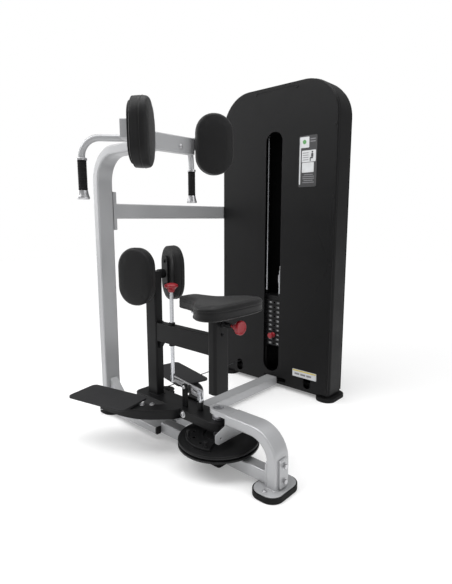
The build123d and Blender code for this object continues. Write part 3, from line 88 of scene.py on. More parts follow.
class Shader:
    """A new material around one Principled node, textured in object coordinates."""

    def __init__(self, name):
        self.material = bpy.data.materials.new(name)
        self.material.use_nodes = True
        self.tree = self.material.node_tree
        self.principled = self.tree.nodes["Principled BSDF"]
        self.coords = self.node("TexCoord").outputs["Object"]
        MATERIALS[name] = self.material

    def node(self, kind, **inputs):
        """Add a node; inputs are sockets to link or values, spaces written as _."""
        node = self.tree.nodes.new("ShaderNode" + kind)
        self.fill(node, inputs)
        return node

    def fill(self, node, inputs):
        for key, value in inputs.items():
            self.feed(node.inputs[key.replace("_", " ")], value)

    def feed(self, socket, value):
        if is_socket(value):
            self.tree.links.new(value, socket)
        elif isinstance(value, tuple) and socket.type == "RGBA":
            socket.default_value = (*value, 1.0)
        else:
            socket.default_value = value

    def noise(self, scale, detail=3.0, rough=0.55, vector=None):
        return self.node("TexNoise", Scale=scale, Detail=detail, Roughness=rough,
                         Vector=vector or self.coords).outputs["Fac"]

    def voronoi(self, scale, feature):
        node = self.node("TexVoronoi")
        node.feature = feature
        self.fill(node, {"Scale": scale, "Vector": self.coords})
        return node.outputs["Distance"]

    def ramp(self, value, span, to=(0.0, 1.0)):
        """Map the range span onto the range to, clamped."""
        return self.node("MapRange", From_Min=span[0], From_Max=span[1],
                         To_Min=to[0], To_Max=to[1], Value=value).outputs["Result"]

    def mix(self, factor, first, second):
        node = self.node("Mix")
        node.data_type = "RGBA"
        # 0 is the factor; 6 and 7 are the two colours
        for index, value in ((0, factor), (6, first), (7, second)):
            self.feed(node.inputs[index], value)
        return node.outputs[2]

    def math(self, operation, first, second, clamp=False):
        node = self.node("Math")
        node.operation = operation
        node.use_clamp = clamp
        self.feed(node.inputs[0], first)
        self.feed(node.inputs[1], second)
        return node.outputs[0]

    def add(self, first, second):
        return self.math("ADD", first, second)

    def times(self, value, gain):
        return self.math("MULTIPLY", value, gain)

    def edge(self, radius, gain):
        """A mask that is high along edges, from a bevelled normal."""
        bevel = self.node("Bevel", Radius=radius)
        bevel.samples = 4
        geometry = self.node("NewGeometry")
        dot = self.node("VectorMath")
        dot.operation = "DOT_PRODUCT"
        self.feed(dot.inputs[0], bevel.outputs["Normal"])
        self.feed(dot.inputs[1], geometry.outputs["Normal"])
        bend = self.math("SUBTRACT", 1.0, dot.outputs["Value"])
        return self.math("MULTIPLY", bend, gain, clamp=True)

    def bump(self, height, strength, distance, normal=None):
        node = self.node("Bump", Strength=strength, Distance=distance, Height=height)
        if normal is not None:
            self.feed(node.inputs["Normal"], normal)
        return node.outputs["Normal"]

    def surface(self, **inputs):
        self.fill(self.principled, inputs)


# ------------------------------------------------------------------ material families
def paint(name, base, dark, rough, wear_and_highlight, wear_and_highlight_amount, grain, grain_bump,
          metallic=0.0, coat=0.0, specular=0.16):
    """Textured paint, clouded between dark and base, lightened along edges partly by wear and
    partly by a painted edge highlight.
    """
    s = Shader(name)
    clouds = s.noise(scale=2.2, detail=4.0)
    fine = s.noise(scale=grain, detail=2.0)
    peel = s.noise(scale=grain * 0.28, detail=2.0)
    color = s.mix(s.ramp(clouds, span=(0.35, 0.7)), dark, base)
    flakes = s.times(s.ramp(fine, span=(0.52, 0.75)), gain=0.22)
    color = s.mix(flakes, color, scaled(base, gain=1.6))
    patches = s.ramp(s.noise(scale=34.0, detail=5.0), span=(0.38, 0.62))
    # edges lightened in patches: partly wear, partly a painted edge highlight
    edge_wear_and_highlight = s.times(s.edge(radius=0.0022, gain=4.0), patches)
    color = s.mix(s.times(edge_wear_and_highlight, wear_and_highlight_amount), color, wear_and_highlight)
    mottle = s.add(s.noise(scale=9.0, detail=6.0), s.times(fine, gain=0.35))
    roughness = s.ramp(mottle, span=(0.4, 1.0), to=(rough - 0.06, rough + 0.10))
    peel_normal = s.bump(peel, strength=grain_bump, distance=0.0004)
    normal = s.bump(fine, strength=grain_bump * 0.8, distance=0.00015, normal=peel_normal)
    s.surface(Base_Color=color, Roughness=roughness, Metallic=metallic, Normal=normal,
              Coat_Weight=coat, Coat_Roughness=0.25, Specular_IOR_Level=specular)


def metal(name, base, rough, stretch, scratch, tint=(0.9, 0.9, 0.92)):
    """Bare metal; stretch scales the brushing along X, Y and Z."""
    s = Shader(name)
    mapping = s.node("Mapping", Scale=stretch, Vector=s.coords)
    brush = s.noise(scale=900.0, detail=3.0, rough=0.6, vector=mapping.outputs["Vector"])
    clouds = s.noise(scale=26.0, detail=4.0)
    tinted = tuple(channel * gain for channel, gain in zip(base, tint))
    color = s.mix(s.ramp(clouds, span=(0.3, 0.75)), base, tinted)
    roughness = s.ramp(s.add(brush, clouds), span=(0.7, 1.35), to=(rough - 0.05, rough + 0.12))
    s.surface(Base_Color=color, Roughness=roughness, Metallic=1.0,
              Normal=s.bump(brush, strength=scratch, distance=0.0001))


def vinyl(name, base):
    """Grained cover whose creases are darkened with painted shade."""
    s = Shader(name)
    cells = s.voronoi(scale=820.0, feature="F1")
    creases = s.voronoi(scale=560.0, feature="DISTANCE_TO_EDGE")
    soft = s.noise(scale=300.0)
    clouds = s.noise(scale=7.0, detail=4.0)
    color = s.mix(s.ramp(clouds, span=(0.35, 0.7)), scaled(base, gain=0.85),
                  scaled(base, gain=1.25))
    # painted shade: the grain creases are darkened
    color = s.mix(s.ramp(creases, span=(0.0, 0.10), to=(0.35, 0.0)), color,
                  scaled(base, gain=0.5))
    roughness = s.ramp(s.add(s.times(cells, gain=0.5), clouds), span=(0.3, 1.1),
                       to=(0.40, 0.56))
    grain = s.add(cells, s.times(soft, gain=0.6))
    grain_normal = s.bump(grain, strength=0.28, distance=0.00035)
    normal = s.bump(s.ramp(creases, span=(0.0, 0.12)), strength=0.22, distance=0.0003,
                    normal=grain_normal)
    s.surface(Base_Color=color, Roughness=roughness, Normal=normal, Sheen_Weight=0.10,
              Sheen_Roughness=0.45, Specular_IOR_Level=0.20)


def plastic(name, base, rough, grain=900.0, grain_bump=0.10, specular=0.5):
    """Moulded plastic or rubber, scuffed lighter along edges."""
    s = Shader(name)
    fine = s.noise(scale=grain, detail=2.0)
    clouds = s.noise(scale=30.0)
    color = s.mix(s.ramp(clouds, span=(0.3, 0.75)), scaled(base, gain=0.88), base)
    patches = s.ramp(s.noise(scale=80.0, detail=4.0), span=(0.42, 0.6))
    scuffs = s.times(s.edge(radius=0.0014, gain=3.0), patches)
    color = s.mix(s.times(scuffs, gain=0.25), color, scaled(base, gain=2.2, lift=0.05))
    roughness = s.ramp(s.add(fine, clouds), span=(0.6, 1.4), to=(rough - 0.05, rough + 0.09))
    s.surface(Base_Color=color, Roughness=roughness, Specular_IOR_Level=specular,
              Normal=s.bump(fine, strength=grain_bump, distance=0.0002))


def banded_coat(name):
    """Dark cable coat with fine bands."""
    s = Shader(name)
    wave = s.node("TexWave", Scale=260.0, Distortion=1.2, Vector=s.coords).outputs["Fac"]
    color = s.mix(s.ramp(wave, span=(0.2, 0.8)), (0.010, 0.010, 0.011), (0.035, 0.035, 0.037))
    s.surface(Base_Color=color,
              Roughness=s.ramp(s.noise(scale=60.0), span=(0.3, 0.7), to=(0.35, 0.5)),
              Normal=s.bump(wave, strength=0.3, distance=0.0005))


def ink(name, base):
    plastic(name, base, rough=0.4, grain=1500.0, grain_bump=0.03)


paint("frame_silver", base=(0.430, 0.434, 0.444), dark=(0.392, 0.396, 0.406), rough=0.35,
      wear_and_highlight=(0.70, 0.70, 0.71), wear_and_highlight_amount=0.35, grain=1500.0, grain_bump=0.07,
      metallic=0.30, coat=0.12, specular=0.5)
paint("frame_black", base=(0.0070, 0.0070, 0.0075), dark=(0.0055, 0.0055, 0.0059), rough=0.42,
      wear_and_highlight=(0.13, 0.13, 0.135), wear_and_highlight_amount=0.55, grain=1100.0, grain_bump=0.16)
paint("panel_black", base=(0.0060, 0.0060, 0.0064), dark=(0.0048, 0.0048, 0.0052), rough=0.48,
      wear_and_highlight=(0.09, 0.09, 0.095), wear_and_highlight_amount=0.5, grain=1000.0, grain_bump=0.18)
metal("steel", base=(0.50, 0.50, 0.52), rough=0.30, stretch=(1, 1, 0.08), scratch=0.12)
metal("chrome", base=(0.58, 0.59, 0.61), rough=0.20, stretch=(1, 1, 0.03), scratch=0.05)
metal("zinc", base=(0.56, 0.56, 0.57), rough=0.33, stretch=(1, 1, 1), scratch=0.14,
      tint=(0.90, 0.90, 0.91))
paint("iron", base=(0.0080, 0.0080, 0.0085), dark=(0.0060, 0.0060, 0.0064), rough=0.46,
      wear_and_highlight=(0.16, 0.16, 0.165), wear_and_highlight_amount=0.6, grain=420.0, grain_bump=0.35)
vinyl("upholstery", base=(0.0060, 0.0060, 0.0064))
plastic("board", base=(0.009, 0.009, 0.0095), rough=0.5, specular=0.2)
plastic("rubber", base=(0.008, 0.008, 0.0083), rough=0.66, grain=700.0, grain_bump=0.25,
        specular=0.15)
plastic("plastic_black", base=(0.008, 0.008, 0.0085), rough=0.45, specular=0.2)
plastic("plastic_red", base=(0.26, 0.005, 0.012), rough=0.30, grain=600.0, grain_bump=0.05)
plastic("label", base=(0.60, 0.61, 0.62), rough=0.38, grain=1200.0, grain_bump=0.04)
banded_coat("cable_coat")
# lighter copy of the board black for the foot boards: painted light falling on their tops
paint("board_painted_lit", base=(0.024, 0.024, 0.025), dark=(0.019, 0.019, 0.020), rough=0.58,
      wear_and_highlight=(0.16, 0.16, 0.165), wear_and_highlight_amount=0.5, grain=700.0, grain_bump=0.5)
ink("ink_white", base=(0.78, 0.78, 0.78))
ink("ink_grey", base=(0.20, 0.20, 0.21))
ink("ink_dark", base=(0.035, 0.035, 0.037))
ink("ink_green", base=(0.10, 0.30, 0.10))
ink("ink_yellow", base=(0.60, 0.48, 0.06))


# ------------------------------------------------------------------ CAD nodes
# nodes whose material differs from their recorded slot
# the foot boards take the lighter board black, which paints in the light on their tops
NODE_MATERIAL = {"foot_boards": "board_painted_lit", "tower_placards": "ink_dark"}


def dress_cad(node, part):
    """Material, softened edges and smooth shading for one CAD piece."""
    part.data.materials.clear()
    part.data.materials.append(MATERIALS[NODE_MATERIAL.get(node, NODE_SLOT[node])])
    merge = part.modifiers.new("weld", "WELD")
    merge.merge_threshold = 0.00002
    bevel = part.modifiers.new("edge", "BEVEL")
    bevel.width = 0.0011
    bevel.segments = 2
    bevel.limit_method = "ANGLE"
    bevel.angle_limit = math.radians(50)
    bevel.use_clamp_overlap = True
    part.data.shade_smooth()
    normals = part.modifiers.new("normals", "WEIGHTED_NORMAL")
    normals.keep_sharp = False
    normals.weight = 60


for cad_node, cad_part in NODES.items():
    dress_cad(cad_node, cad_part)


# ------------------------------------------------------------------ mesh tools
def link_object(name, data):
    part = bpy.data.objects.new(name, data)
    SCENE.collection.objects.link(part)
    return part


def from_bm(bm, name, material, body=None, smooth=True):
    """Turn a bmesh into an object that rides with body."""
    bmesh.ops.recalc_face_normals(bm, faces=bm.faces)
    mesh = bpy.data.meshes.new(name)
    bm.to_mesh(mesh)
    bm.free()
    part = link_object(name, mesh)
    mesh.materials.append(MATERIALS[material])
    if smooth:
        mesh.shade_smooth()
    if body:
        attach(part, body)
    return part


def ring(bm, origin, turn, radii, height):
    """One vertex per radius, evenly spaced round the local Z axis."""
    verts = []
    for i, radius in enumerate(radii):
        angle = 2 * math.pi * i / len(radii)
        local = Vector((radius * math.cos(angle), radius * math.sin(angle), height))
        verts.append(bm.verts.new(Vector(origin) + turn @ local))
    return verts


def bridge(bm, rings):
    """Faces between successive rings; a ring of one vertex is a tip."""
    for a, b in zip(rings, rings[1:]):
        count = max(len(a), len(b))
        for i in range(count):
            j = (i + 1) % count
            if len(a) == 1:
                bm.faces.new((a[0], b[i], b[j]))
            elif len(b) == 1:
                bm.faces.new((a[i], a[j], b[0]))
            else:
                bm.faces.new((a[i], a[j], b[j], b[i]))


def capped(bm, rings):
    bm.faces.new(rings[0][::-1])
    bridge(bm, rings)
    bm.faces.new(rings[-1])


def axis_frame(axis):
    """Rotation that takes local Z to axis."""
    along = Vector(axis).normalized()
    up = Vector((0, 0, 1))
    if abs(along.dot(up)) > 0.95:
        up = Vector((1, 0, 0))
    across = up.cross(along).normalized()
    return Matrix((across, along.cross(across), along)).transposed()


def lathe(bm, profile, origin, axis, segments):
    """Revolve (radius, along) points about axis through origin."""
    turn = axis_frame(axis)
    bridge(bm, [ring(bm, origin, turn, [radius] * (segments if radius else 1), along)
                for radius, along in profile])


def tube(bm, points, radius, segments, closed=False):
    """A round tube along points; radius is one number or a list with one per point."""
    points = [Vector(point) for point in points]
    count = len(points)
    radii = radius if isinstance(radius, list) else [radius] * count
    rings = []
    for k, point in enumerate(points):
        before = points[(k - 1) % count] if closed or k else point
        after = points[(k + 1) % count] if closed or k < count - 1 else point
        along = (after - before).normalized()
        if k == 0:
            side = along.orthogonal().normalized()
        else:
            side = (side - along * side.dot(along)).normalized()
        other = along.cross(side)
        angles = [2 * math.pi * i / segments for i in range(segments)]
        rings.append([bm.verts.new(point + radii[k] * (math.cos(a) * side + math.sin(a) * other))
                      for a in angles])
    if closed:
        last, first = rings[-1], rings[0]
        # join at the rotation with the least twist
        shift = min(range(segments), key=lambda s: (last[0].co - first[s].co).length)
        bridge(bm, [last, first[shift:] + first[:shift]])
    bridge(bm, rings)
    if not closed:
        bm.faces.new(rings[0][::-1])
        bm.faces.new(rings[-1])


# bolt heads: radius / bolt radius, height / head height, whether hexagonal
SOCKET_HEAD = (
    (1.0, 0.0, False), (1.02, 0.2, False), (0.95, 0.7, False), (0.72, 0.98, False),
    (0.52, 1.0, False), (0.46, 1.0, True), (0.46, 0.35, True),
)
HEX_HEAD = ((1.08, 0.0, True), (1.08, 0.82, True), (0.93, 1.0, False))
HEAD_SEGMENTS = 24
WASHER = 0.0016     # thickness


def hexagon(corner, count):
    """Radii of a hexagon sampled at count angles."""
    sixth = math.pi / 3
    return [corner * math.cos(sixth / 2)
            / math.cos((2 * math.pi * i / count) % sixth - sixth / 2) for i in range(count)]


def bolt(bm, origin, axis, radius, height, washer=True, socket=False):
    """Optional washer, then a hex head or a round head with a hex socket."""
    base = 0.0
    if washer:
        lathe(bm, [(0, 0), (radius * 1.45, 0), (radius * 1.5, 0.0003), (radius * 1.5, 0.0012),
                   (radius * 1.42, WASHER), (0, WASHER)], origin, axis, 28)
        base = WASHER
    turn = axis_frame(axis)
    rings = []
    for wide, high, is_hex in SOCKET_HEAD if socket else HEX_HEAD:
        size = radius * wide
        radii = hexagon(size, HEAD_SEGMENTS) if is_hex else [size] * HEAD_SEGMENTS
        rings.append(ring(bm, origin, turn, radii, base + height * high))
    capped(bm, rings)


def pin(bm, centre, axis, length, radius, end_radius):
    """Round pin with chamfered ends."""
    chamfer, half = 0.001, length / 2
    lathe(bm, [(0, -half), (end_radius, -half), (radius, -half + chamfer),
               (radius, half - chamfer), (end_radius, half), (0, half)], centre, axis, 24)


def rounded_plate(bm, width, height, corner, depth, place, steps=6, bevel=0.0004):
    """Rounded rectangle in the local XY plane with a bevelled +Z edge."""
    right, top = width / 2 - corner, height / 2 - corner
    corners = ((right, top, 0), (-right, top, 90), (-right, -top, 180), (right, -top, 270))
    rings = []
    for inset, z in ((0, 0), (0, depth - bevel), (bevel, depth)):
        verts = []
        for x, y, start in corners:
            for i in range(steps + 1):
                a = math.radians(start + 90 * i / steps)
                local = Vector((x + (corner - inset) * math.cos(a),
                                y + (corner - inset) * math.sin(a), z))
                verts.append(bm.verts.new(place @ local))
        rings.append(verts)
    capped(bm, rings)


def facing_minus_y(x, y, z):
    """Place a local XY drawing upright at a point, its +Z towards -Y."""
    return Matrix.Translation((x, y, z)) @ Matrix.Rotation(math.radians(90), 4, "X")


def resample(points, step, closed=True):
    """Points about step apart along a path."""
    path = np.array([list(point) for point in points])
    if closed:
        path = np.vstack([path, path[:1]])
    lengths = np.linalg.norm(np.diff(path, axis=0), axis=1)
    travel = np.concatenate([[0], np.cumsum(lengths)])
    count = int(travel[-1] / step)
    if not closed:
        count = max(3, count)
    return [Vector(tuple(np.interp(at, travel, path[:, j]) for j in range(3)))
            for at in np.linspace(0, travel[-1], count, endpoint=not closed)]


def welded_copy(mesh):
    """A bmesh of the mesh with coincident vertices joined."""
    bm = bmesh.new()
    bm.from_mesh(mesh)
    bmesh.ops.remove_doubles(bm, verts=bm.verts, dist=2e-5)
    return bm


def islands(node):
    """Low and high corners of each separate solid in a CAD node."""
    bm = welded_copy(NODES[node].data)
    seen, boxes = set(), []
    for start in bm.verts:
        if start in seen:
            continue
        seen.add(start)
        stack, points = [start], []
        while stack:
            vert = stack.pop()
            points.append(list(vert.co))
            for edge in vert.link_edges:
                other = edge.other_vert(vert)
                if other not in seen:
                    seen.add(other)
                    stack.append(other)
        points = np.array(points)
        boxes.append((Vector(points.min(0)), Vector(points.max(0))))
    bm.free()
    return boxes


def top_down(node):
    return sorted(islands(node), key=lambda box: -(box[0].z + box[1].z))


# ------------------------------------------------------------------ soft pads
VOXEL = 0.0046
INSET = 0.0016          # shrink before remeshing
PINNED_DEPTH = 0.006    # held still at the back while inflating
SWELL_CAP = 0.0022      # furthest a vertex may inflate
LAST_FRAME = 20
CLOTH = {
    "quality": 6, "mass": 0.3, "tension_stiffness": 40, "compression_stiffness": 40,
    "shear_stiffness": 20, "bending_stiffness": 10, "use_pressure": True,
    "uniform_pressure_force": 2.5, "vertex_group_mass": "back",
}
# seam round the side: depth or height, and width, of the groove and the swelling beside it
GROOVE_DEPTH, GROOVE_WIDTH = 0.0018, 0.0021
SWELLING, SWELLING_WIDTH = 0.0009, 0.0085

# cover object, its centre, the face direction, and heights of seam and back along it
Pad = namedtuple("Pad", "cover centre normal seam back")


def evaluated(part):
    graph = bpy.context.evaluated_depsgraph_get()
    return bpy.data.meshes.new_from_object(
        part.evaluated_get(graph), preserve_all_data_layers=False, depsgraph=graph)


def bake_modifiers(part):
    mesh = evaluated(part)
    part.modifiers.clear()
    part.data = mesh


def per_vertex(mesh, attribute):
    values = np.zeros(len(mesh.vertices) * 3)
    mesh.vertices.foreach_get(attribute, values)
    return values.reshape(-1, 3)


def set_coords(mesh, points):
    mesh.vertices.foreach_set("co", points.astype(np.float32).ravel())
    mesh.update()


def bell(x, width):
    return np.exp(-((x / width) ** 2))


def remeshed(node, name):
    """A slightly shrunk, evenly meshed copy of a CAD cushion."""
    mesh = NODES[node].data.copy()
    bm = welded_copy(mesh)
    bmesh.ops.recalc_face_normals(bm, faces=bm.faces)
    bm.normal_update()
    for vert in bm.verts:
        vert.co -= vert.normal * INSET
    bm.to_mesh(mesh)
    bm.free()
    mesh.materials.clear()
    cover = link_object(name, mesh)
    remesh = cover.modifiers.new("remesh", "REMESH")
    remesh.mode = "VOXEL"
    remesh.voxel_size = VOXEL
    bake_modifiers(cover)
    return cover


def inflate(cover, centre, normal):
    """Swell the cover as pressurised cloth, each vertex by SWELL_CAP at most."""
    rest = per_vertex(cover.data, "co")
    height = (rest - centre) @ normal
    pinned = np.where(height < height.min() + PINNED_DEPTH)[0]
    cover.vertex_groups.new(name="back").add([int(i) for i in pinned], 1.0, "REPLACE")
    cloth = cover.modifiers.new("cloth", "CLOTH")
    for key, value in CLOTH.items():
        setattr(cloth.settings, key, value)
    cloth.settings.effector_weights.gravity = 0.0
    cloth.collision_settings.use_collision = False
    cloth.collision_settings.use_self_collision = False
    for step in range(1, LAST_FRAME + 1):
        SCENE.frame_set(step)
    move = per_vertex(evaluated(cover), "co") - rest
    cover.modifiers.clear()
    cover.vertex_groups.clear()
    SCENE.frame_set(1)
    length = np.linalg.norm(move, axis=1)
    keep = np.minimum(1.0, SWELL_CAP / np.maximum(length, 1e-9))
    set_coords(cover.data, rest + move * keep[:, None])


def soft_pad(node, normal, crown, seam):
    """Padded cover for a CAD cushion; seam is its place from back (0) to face (1)."""
    cover = remeshed(node, node + "_cover")
    normal = np.array(normal, float)
    normal /= np.linalg.norm(normal)
    lo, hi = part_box(node)
    centre = np.array((lo + hi) / 2)
    inflate(cover, centre, normal)
    smooth = cover.modifiers.new("smooth", "SMOOTH")
    smooth.factor = 0.5
    smooth.iterations = 5
    subdivide = cover.modifiers.new("sub", "SUBSURF")
    subdivide.levels = subdivide.render_levels = 1
    bake_modifiers(cover)

    points = per_vertex(cover.data, "co")
    outward = per_vertex(cover.data, "normal")
    height = (points - centre) @ normal
    back = height.min()
    seam_height = back + (height.max() - back) * seam
    # crown on the face
    lateral = np.linalg.norm(points - centre - np.outer(height, normal), axis=1)
    reach = lateral / lateral.max()
    facing = np.clip(outward @ normal, 0, 1)
    points = points + np.outer(facing * crown * np.clip(1 - reach ** 2 * 1.3, 0, 1), normal)
    # seam round the side
    side = np.clip((1.0 - np.abs(outward @ normal)) * 1.6 - 0.3, 0, 1)
    offset = height - seam_height
    relief = SWELLING * bell(offset, SWELLING_WIDTH) - GROOVE_DEPTH * bell(offset, GROOVE_WIDTH)
    points = points + outward * (relief * side)[:, None]
    set_coords(cover.data, points)

    cover.data.materials.append(MATERIALS["upholstery"])
    cover.data.shade_smooth()
    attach(cover, BODY[node])
    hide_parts(node)
    return Pad(cover, centre, normal, seam_height, back)


def outline(pad, height, count, lift):
    """Closed outline of a pad at a height along its normal, by rays from outside."""
    bm = bmesh.new()
    bm.from_mesh(pad.cover.data)
    surface = BVHTree.FromBMesh(bm)
    bm.free()
    up = np.array((0, 0, 1.0)) if abs(pad.normal[2]) < 0.9 else np.array((1.0, 0, 0))
    across = np.cross(up, pad.normal)
    across /= np.linalg.norm(across)
    other = np.cross(pad.normal, across)
    middle = Vector(pad.centre + pad.normal * height)
    points = []
    for i in range(count):
        angle = 2 * math.pi * i / count
        ray = Vector(across * math.cos(angle) + other * math.sin(angle))
        place, surface_normal = surface.ray_cast(middle + ray * 0.5, -ray)[:2]
        if place is not None:
            points.append(list(place + surface_normal * lift))
    points = np.array(points)
    for _ in range(2):
        points = (0.25 * np.roll(points, 1, 0) + 0.5 * points
                  + 0.25 * np.roll(points, -1, 0))
    return points


def stitches(name, pad, above_seam, body):
    """A row of thread stitches beside the seam."""
    pitch, length, rise, sink = 0.0062, 0.0036, 0.0006, 0.0003
    points = resample(outline(pad, pad.seam + above_seam, count=360, lift=0.0001), pitch)
    bm = bmesh.new()
    for i, start in enumerate(points):
        along = (points[(i + 1) % len(points)] - start).normalized()
        out = Vector(pad.normal).cross(along).normalized()
        if out.dot(start - Vector(pad.centre)) < 0:
            out = -out
        end = start + along * length
        middle = (start + end) / 2 + out * rise
        tube(bm, [start - out * sink, start.lerp(middle, 0.5) + out * sink, middle,
                  end.lerp(middle, 0.5) + out * sink, end - out * sink], 0.00042, 5)
    from_bm(bm, name, "upholstery", body)


def welt(name, pad, above_back, count, radius, body):
    """A cord round the pad near its back."""
    path = outline(pad, pad.back + above_back, count, lift=0.0002)
    bm = bmesh.new()
    tube(bm, resample(path, 0.004), radius, 8, closed=True)
    from_bm(bm, name, "upholstery", body)


def thin_direction(node):
    """Horizontal direction in which an upright cushion is thinnest."""
    points = per_vertex(NODES[node].data, "co")
    flat = (points - points.mean(0))[:, :2]
    vectors = np.linalg.eigh(flat.T @ flat)[1]
    return np.array([vectors[0, 0], vectors[1, 0], 0.0])


def upright_pad(node, body):
    normal = thin_direction(node)
    if body == "frame":
        normal = normal * (1 if normal[0] > 0 else -1)
    else:
        lo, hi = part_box(node)
        normal = normal * (1 if normal[1] * ((lo + hi) / 2).y > 0 else -1)
    pad = soft_pad(node, normal, crown=0.003, seam=0.55)
    stitches(node + "_stitching", pad, 0.0042, body)
    welt(node + "_welt", pad, above_back=0.0060, count=240, radius=0.0019, body=body)


def shape_saddle(cover):
    """A shallow dish, a raised rim at +X and a lowered nose at -X."""
    points = per_vertex(cover.data, "co")
    top = np.clip(per_vertex(cover.data, "normal")[:, 2], 0, 1)
    lo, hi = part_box("seat_pad")
    u = (points[:, 0] - lo.x) / (hi.x - lo.x)       # 0 to 1 towards +X
    v = points[:, 1] / (hi.y - lo.y) * 2            # -1 to 1 across
    dish = -0.0035 * bell(u - 0.62, 0.26) * bell(v, 0.55)
    rim = 0.0022 * np.clip((u - 0.80) / 0.2, 0, 1) * np.exp(-((np.abs(v) / 0.7) ** 4))
    nose = -0.0050 * np.clip((0.16 - u) / 0.16, 0, 1) ** 2
    points[:, 2] += top * (dish + rim + nose)
    set_coords(cover.data, points)


def seat():
    pad = soft_pad("seat_pad", (0, 0, 1), crown=0.0, seam=0.62)
    shape_saddle(pad.cover)
    # outlines are cast from the Z axis
    pad = pad._replace(centre=np.array([0.0, 0.0, pad.centre[2]]))
    stitches("seat_stitching", pad, 0.0045, "seat")
    welt("seat_welt", pad, above_back=0.0070, count=360, radius=0.0021, body="seat")


for pad_node, pad_body in (("chest_pad_left", "frame"), ("chest_pad_right", "frame"),
                           ("knee_pad_left", "carriage"), ("knee_pad_right", "carriage")):
    upright_pad(pad_node, pad_body)
seat()


# ------------------------------------------------------------------ fasteners
AXLE = {"radius": 0.006, "end_radius": 0.005}
AXLE_WASHER = 0.0012                            # thickness
AXLE_WASHER_Y = 0.0162                          # centre of each washer from the axle centre
AXLE_WASHER_PROFILE = [(0.0062, 0), (0.0098, 0), (0.0098, AXLE_WASHER),
                       (0.0062, AXLE_WASHER), (0.0062, 0)]


def frame_fasteners():
    bm = bmesh.new()
    for lo, hi in islands("frame_bolts"):
        c, size = (lo + hi) / 2, hi - lo
        if c.x > 0.2:                           # rear leg
            if size.x > 0.005:
                bolt(bm, (lo.x - WASHER, c.y, c.z), (1, 0, 0), 0.0088, 0.0075)
        elif c.z > 1.1 and c.y < 0.3:           # crossbar
            bolt(bm, (lo.x, c.y, c.z), (1, 0, 0), 0.0072, 0.0050, socket=True)
        elif size.y > size.x:                   # axles along Y, a washer each side
            pin(bm, c, (0, 1, 0), size.y, **AXLE)
            for side in (-1, 1):
                start = c + Vector((0, side * AXLE_WASHER_Y - AXLE_WASHER / 2, 0))
                lathe(bm, AXLE_WASHER_PROFILE, start, (0, 1, 0), 24)
        else:                                   # axles along X
            pin(bm, c, (1, 0, 0), size.x, **AXLE)
    part = from_bm(bm, "frame_fastener_set", "zinc", "frame", smooth=False)
    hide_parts("frame_bolts")


def flange_fasteners():
    """Two bolts on the raised flanges, two screws on each foot plate."""
    bm = bmesh.new()
    flanges = [box for box in islands("bolt_flanges") if (box[0] + box[1]).z / 2 > 0.5]
    if flanges:
        lo = Vector([min(box[0][k] for box in flanges) for k in range(3)])
        hi = Vector([max(box[1][k] for box in flanges) for k in range(3)])
        for z in (lo.z + 0.020, hi.z - 0.020):
            bolt(bm, ((lo.x + hi.x) / 2, hi.y, z), (0, 1, 0), 0.0075, 0.0060)
    for lo, hi in islands("foot_plates_steel"):
        c = (lo + hi) / 2
        for side in (-1, 1):
            bolt(bm, (c.x, c.y + side * 0.060, hi.z), (0, 0, 1), 0.0062, 0.0040, socket=True)
    from_bm(bm, "flange_bolt_set", "zinc", "frame", smooth=False)


def carriage_fasteners():
    bm = bmesh.new()
    inset = 0.005                               # pivot heads from the ends of the pin
    for lo, hi in islands("carriage_bolts"):
        c, size = (lo + hi) / 2, hi - lo
        if c.z > 0.25:                          # lever pivot
            pin(bm, c, (0, 1, 0), size.y, radius=0.005, end_radius=0.0042)
            bolt(bm, (c.x, lo.y + inset, c.z), (0, -1, 0), 0.0076, 0.0048,
                 washer=False, socket=True)
            bolt(bm, (c.x, hi.y - inset, c.z), (0, 1, 0), 0.0076, 0.0048, washer=False)
        elif size.z > size.x * 0.7 and size.y < size.x * 0.9:   # sides of the arm
            side = 1 if c.y > 0 else -1
            bolt(bm, (c.x, c.y - side * size.y / 2, c.z), (0, side, 0), 0.0098, 0.0064,
                 socket=True)
        else:
            bolt(bm, (c.x, c.y, lo.z), (0, 0, 1), 0.0070, 0.0044)
    part = from_bm(bm, "carriage_fastener_set", "zinc", "carriage", smooth=False)
    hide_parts("carriage_bolts")


frame_fasteners()
flange_fasteners()
carriage_fasteners()


# ------------------------------------------------------------------ hand grips
def hand_grips():
    """Hollow sleeves with rounded ends and shallow grooves."""
    ribs, end, groove = 16, 0.006, 0.0009
    wall, rounding, rim = 0.0042, 0.0016, 0.0014
    bm = bmesh.new()
    for lo, hi in islands("hand_grips"):
        c = (lo + hi) / 2
        r = (hi.x - lo.x) / 2
        height = hi.z - lo.z
        pitch = (height - 2 * end) / ribs
        profile = [(r - wall, 0), (r - rounding, 0), (r, rim)]
        for i in range(ribs):
            z = end + pitch * i
            profile += [(r, z), (r, z + pitch * 0.60),
                        (r - groove, z + pitch * 0.72), (r - groove, z + pitch * 0.90)]
        profile += [(r, height - end), (r, height - rim), (r - rounding, height),
                    (r - wall, height), (r - wall, 0)]
        lathe(bm, profile, (c.x, c.y, lo.z), (0, 0, 1), 40)
    part = from_bm(bm, "ribbed_grips", "rubber", "frame")
    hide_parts("hand_grips")


hand_grips()


# ------------------------------------------------------------------ weight numbers
def numeral_mesh(text, x, y, z):
    curve = bpy.data.curves.new("num", "FONT")
    curve.body = text
    curve.size = 0.0115
    curve.align_x = curve.align_y = "CENTER"
    curve.extrude = 0.0002
    curve.resolution_u = 2
    part = link_object("num", curve)
    part.matrix_world = facing_minus_y(x, y, z)
    bpy.context.view_layer.update()
    mesh = evaluated(part)
    mesh.transform(part.matrix_world)
    bpy.data.objects.remove(part)
    return mesh


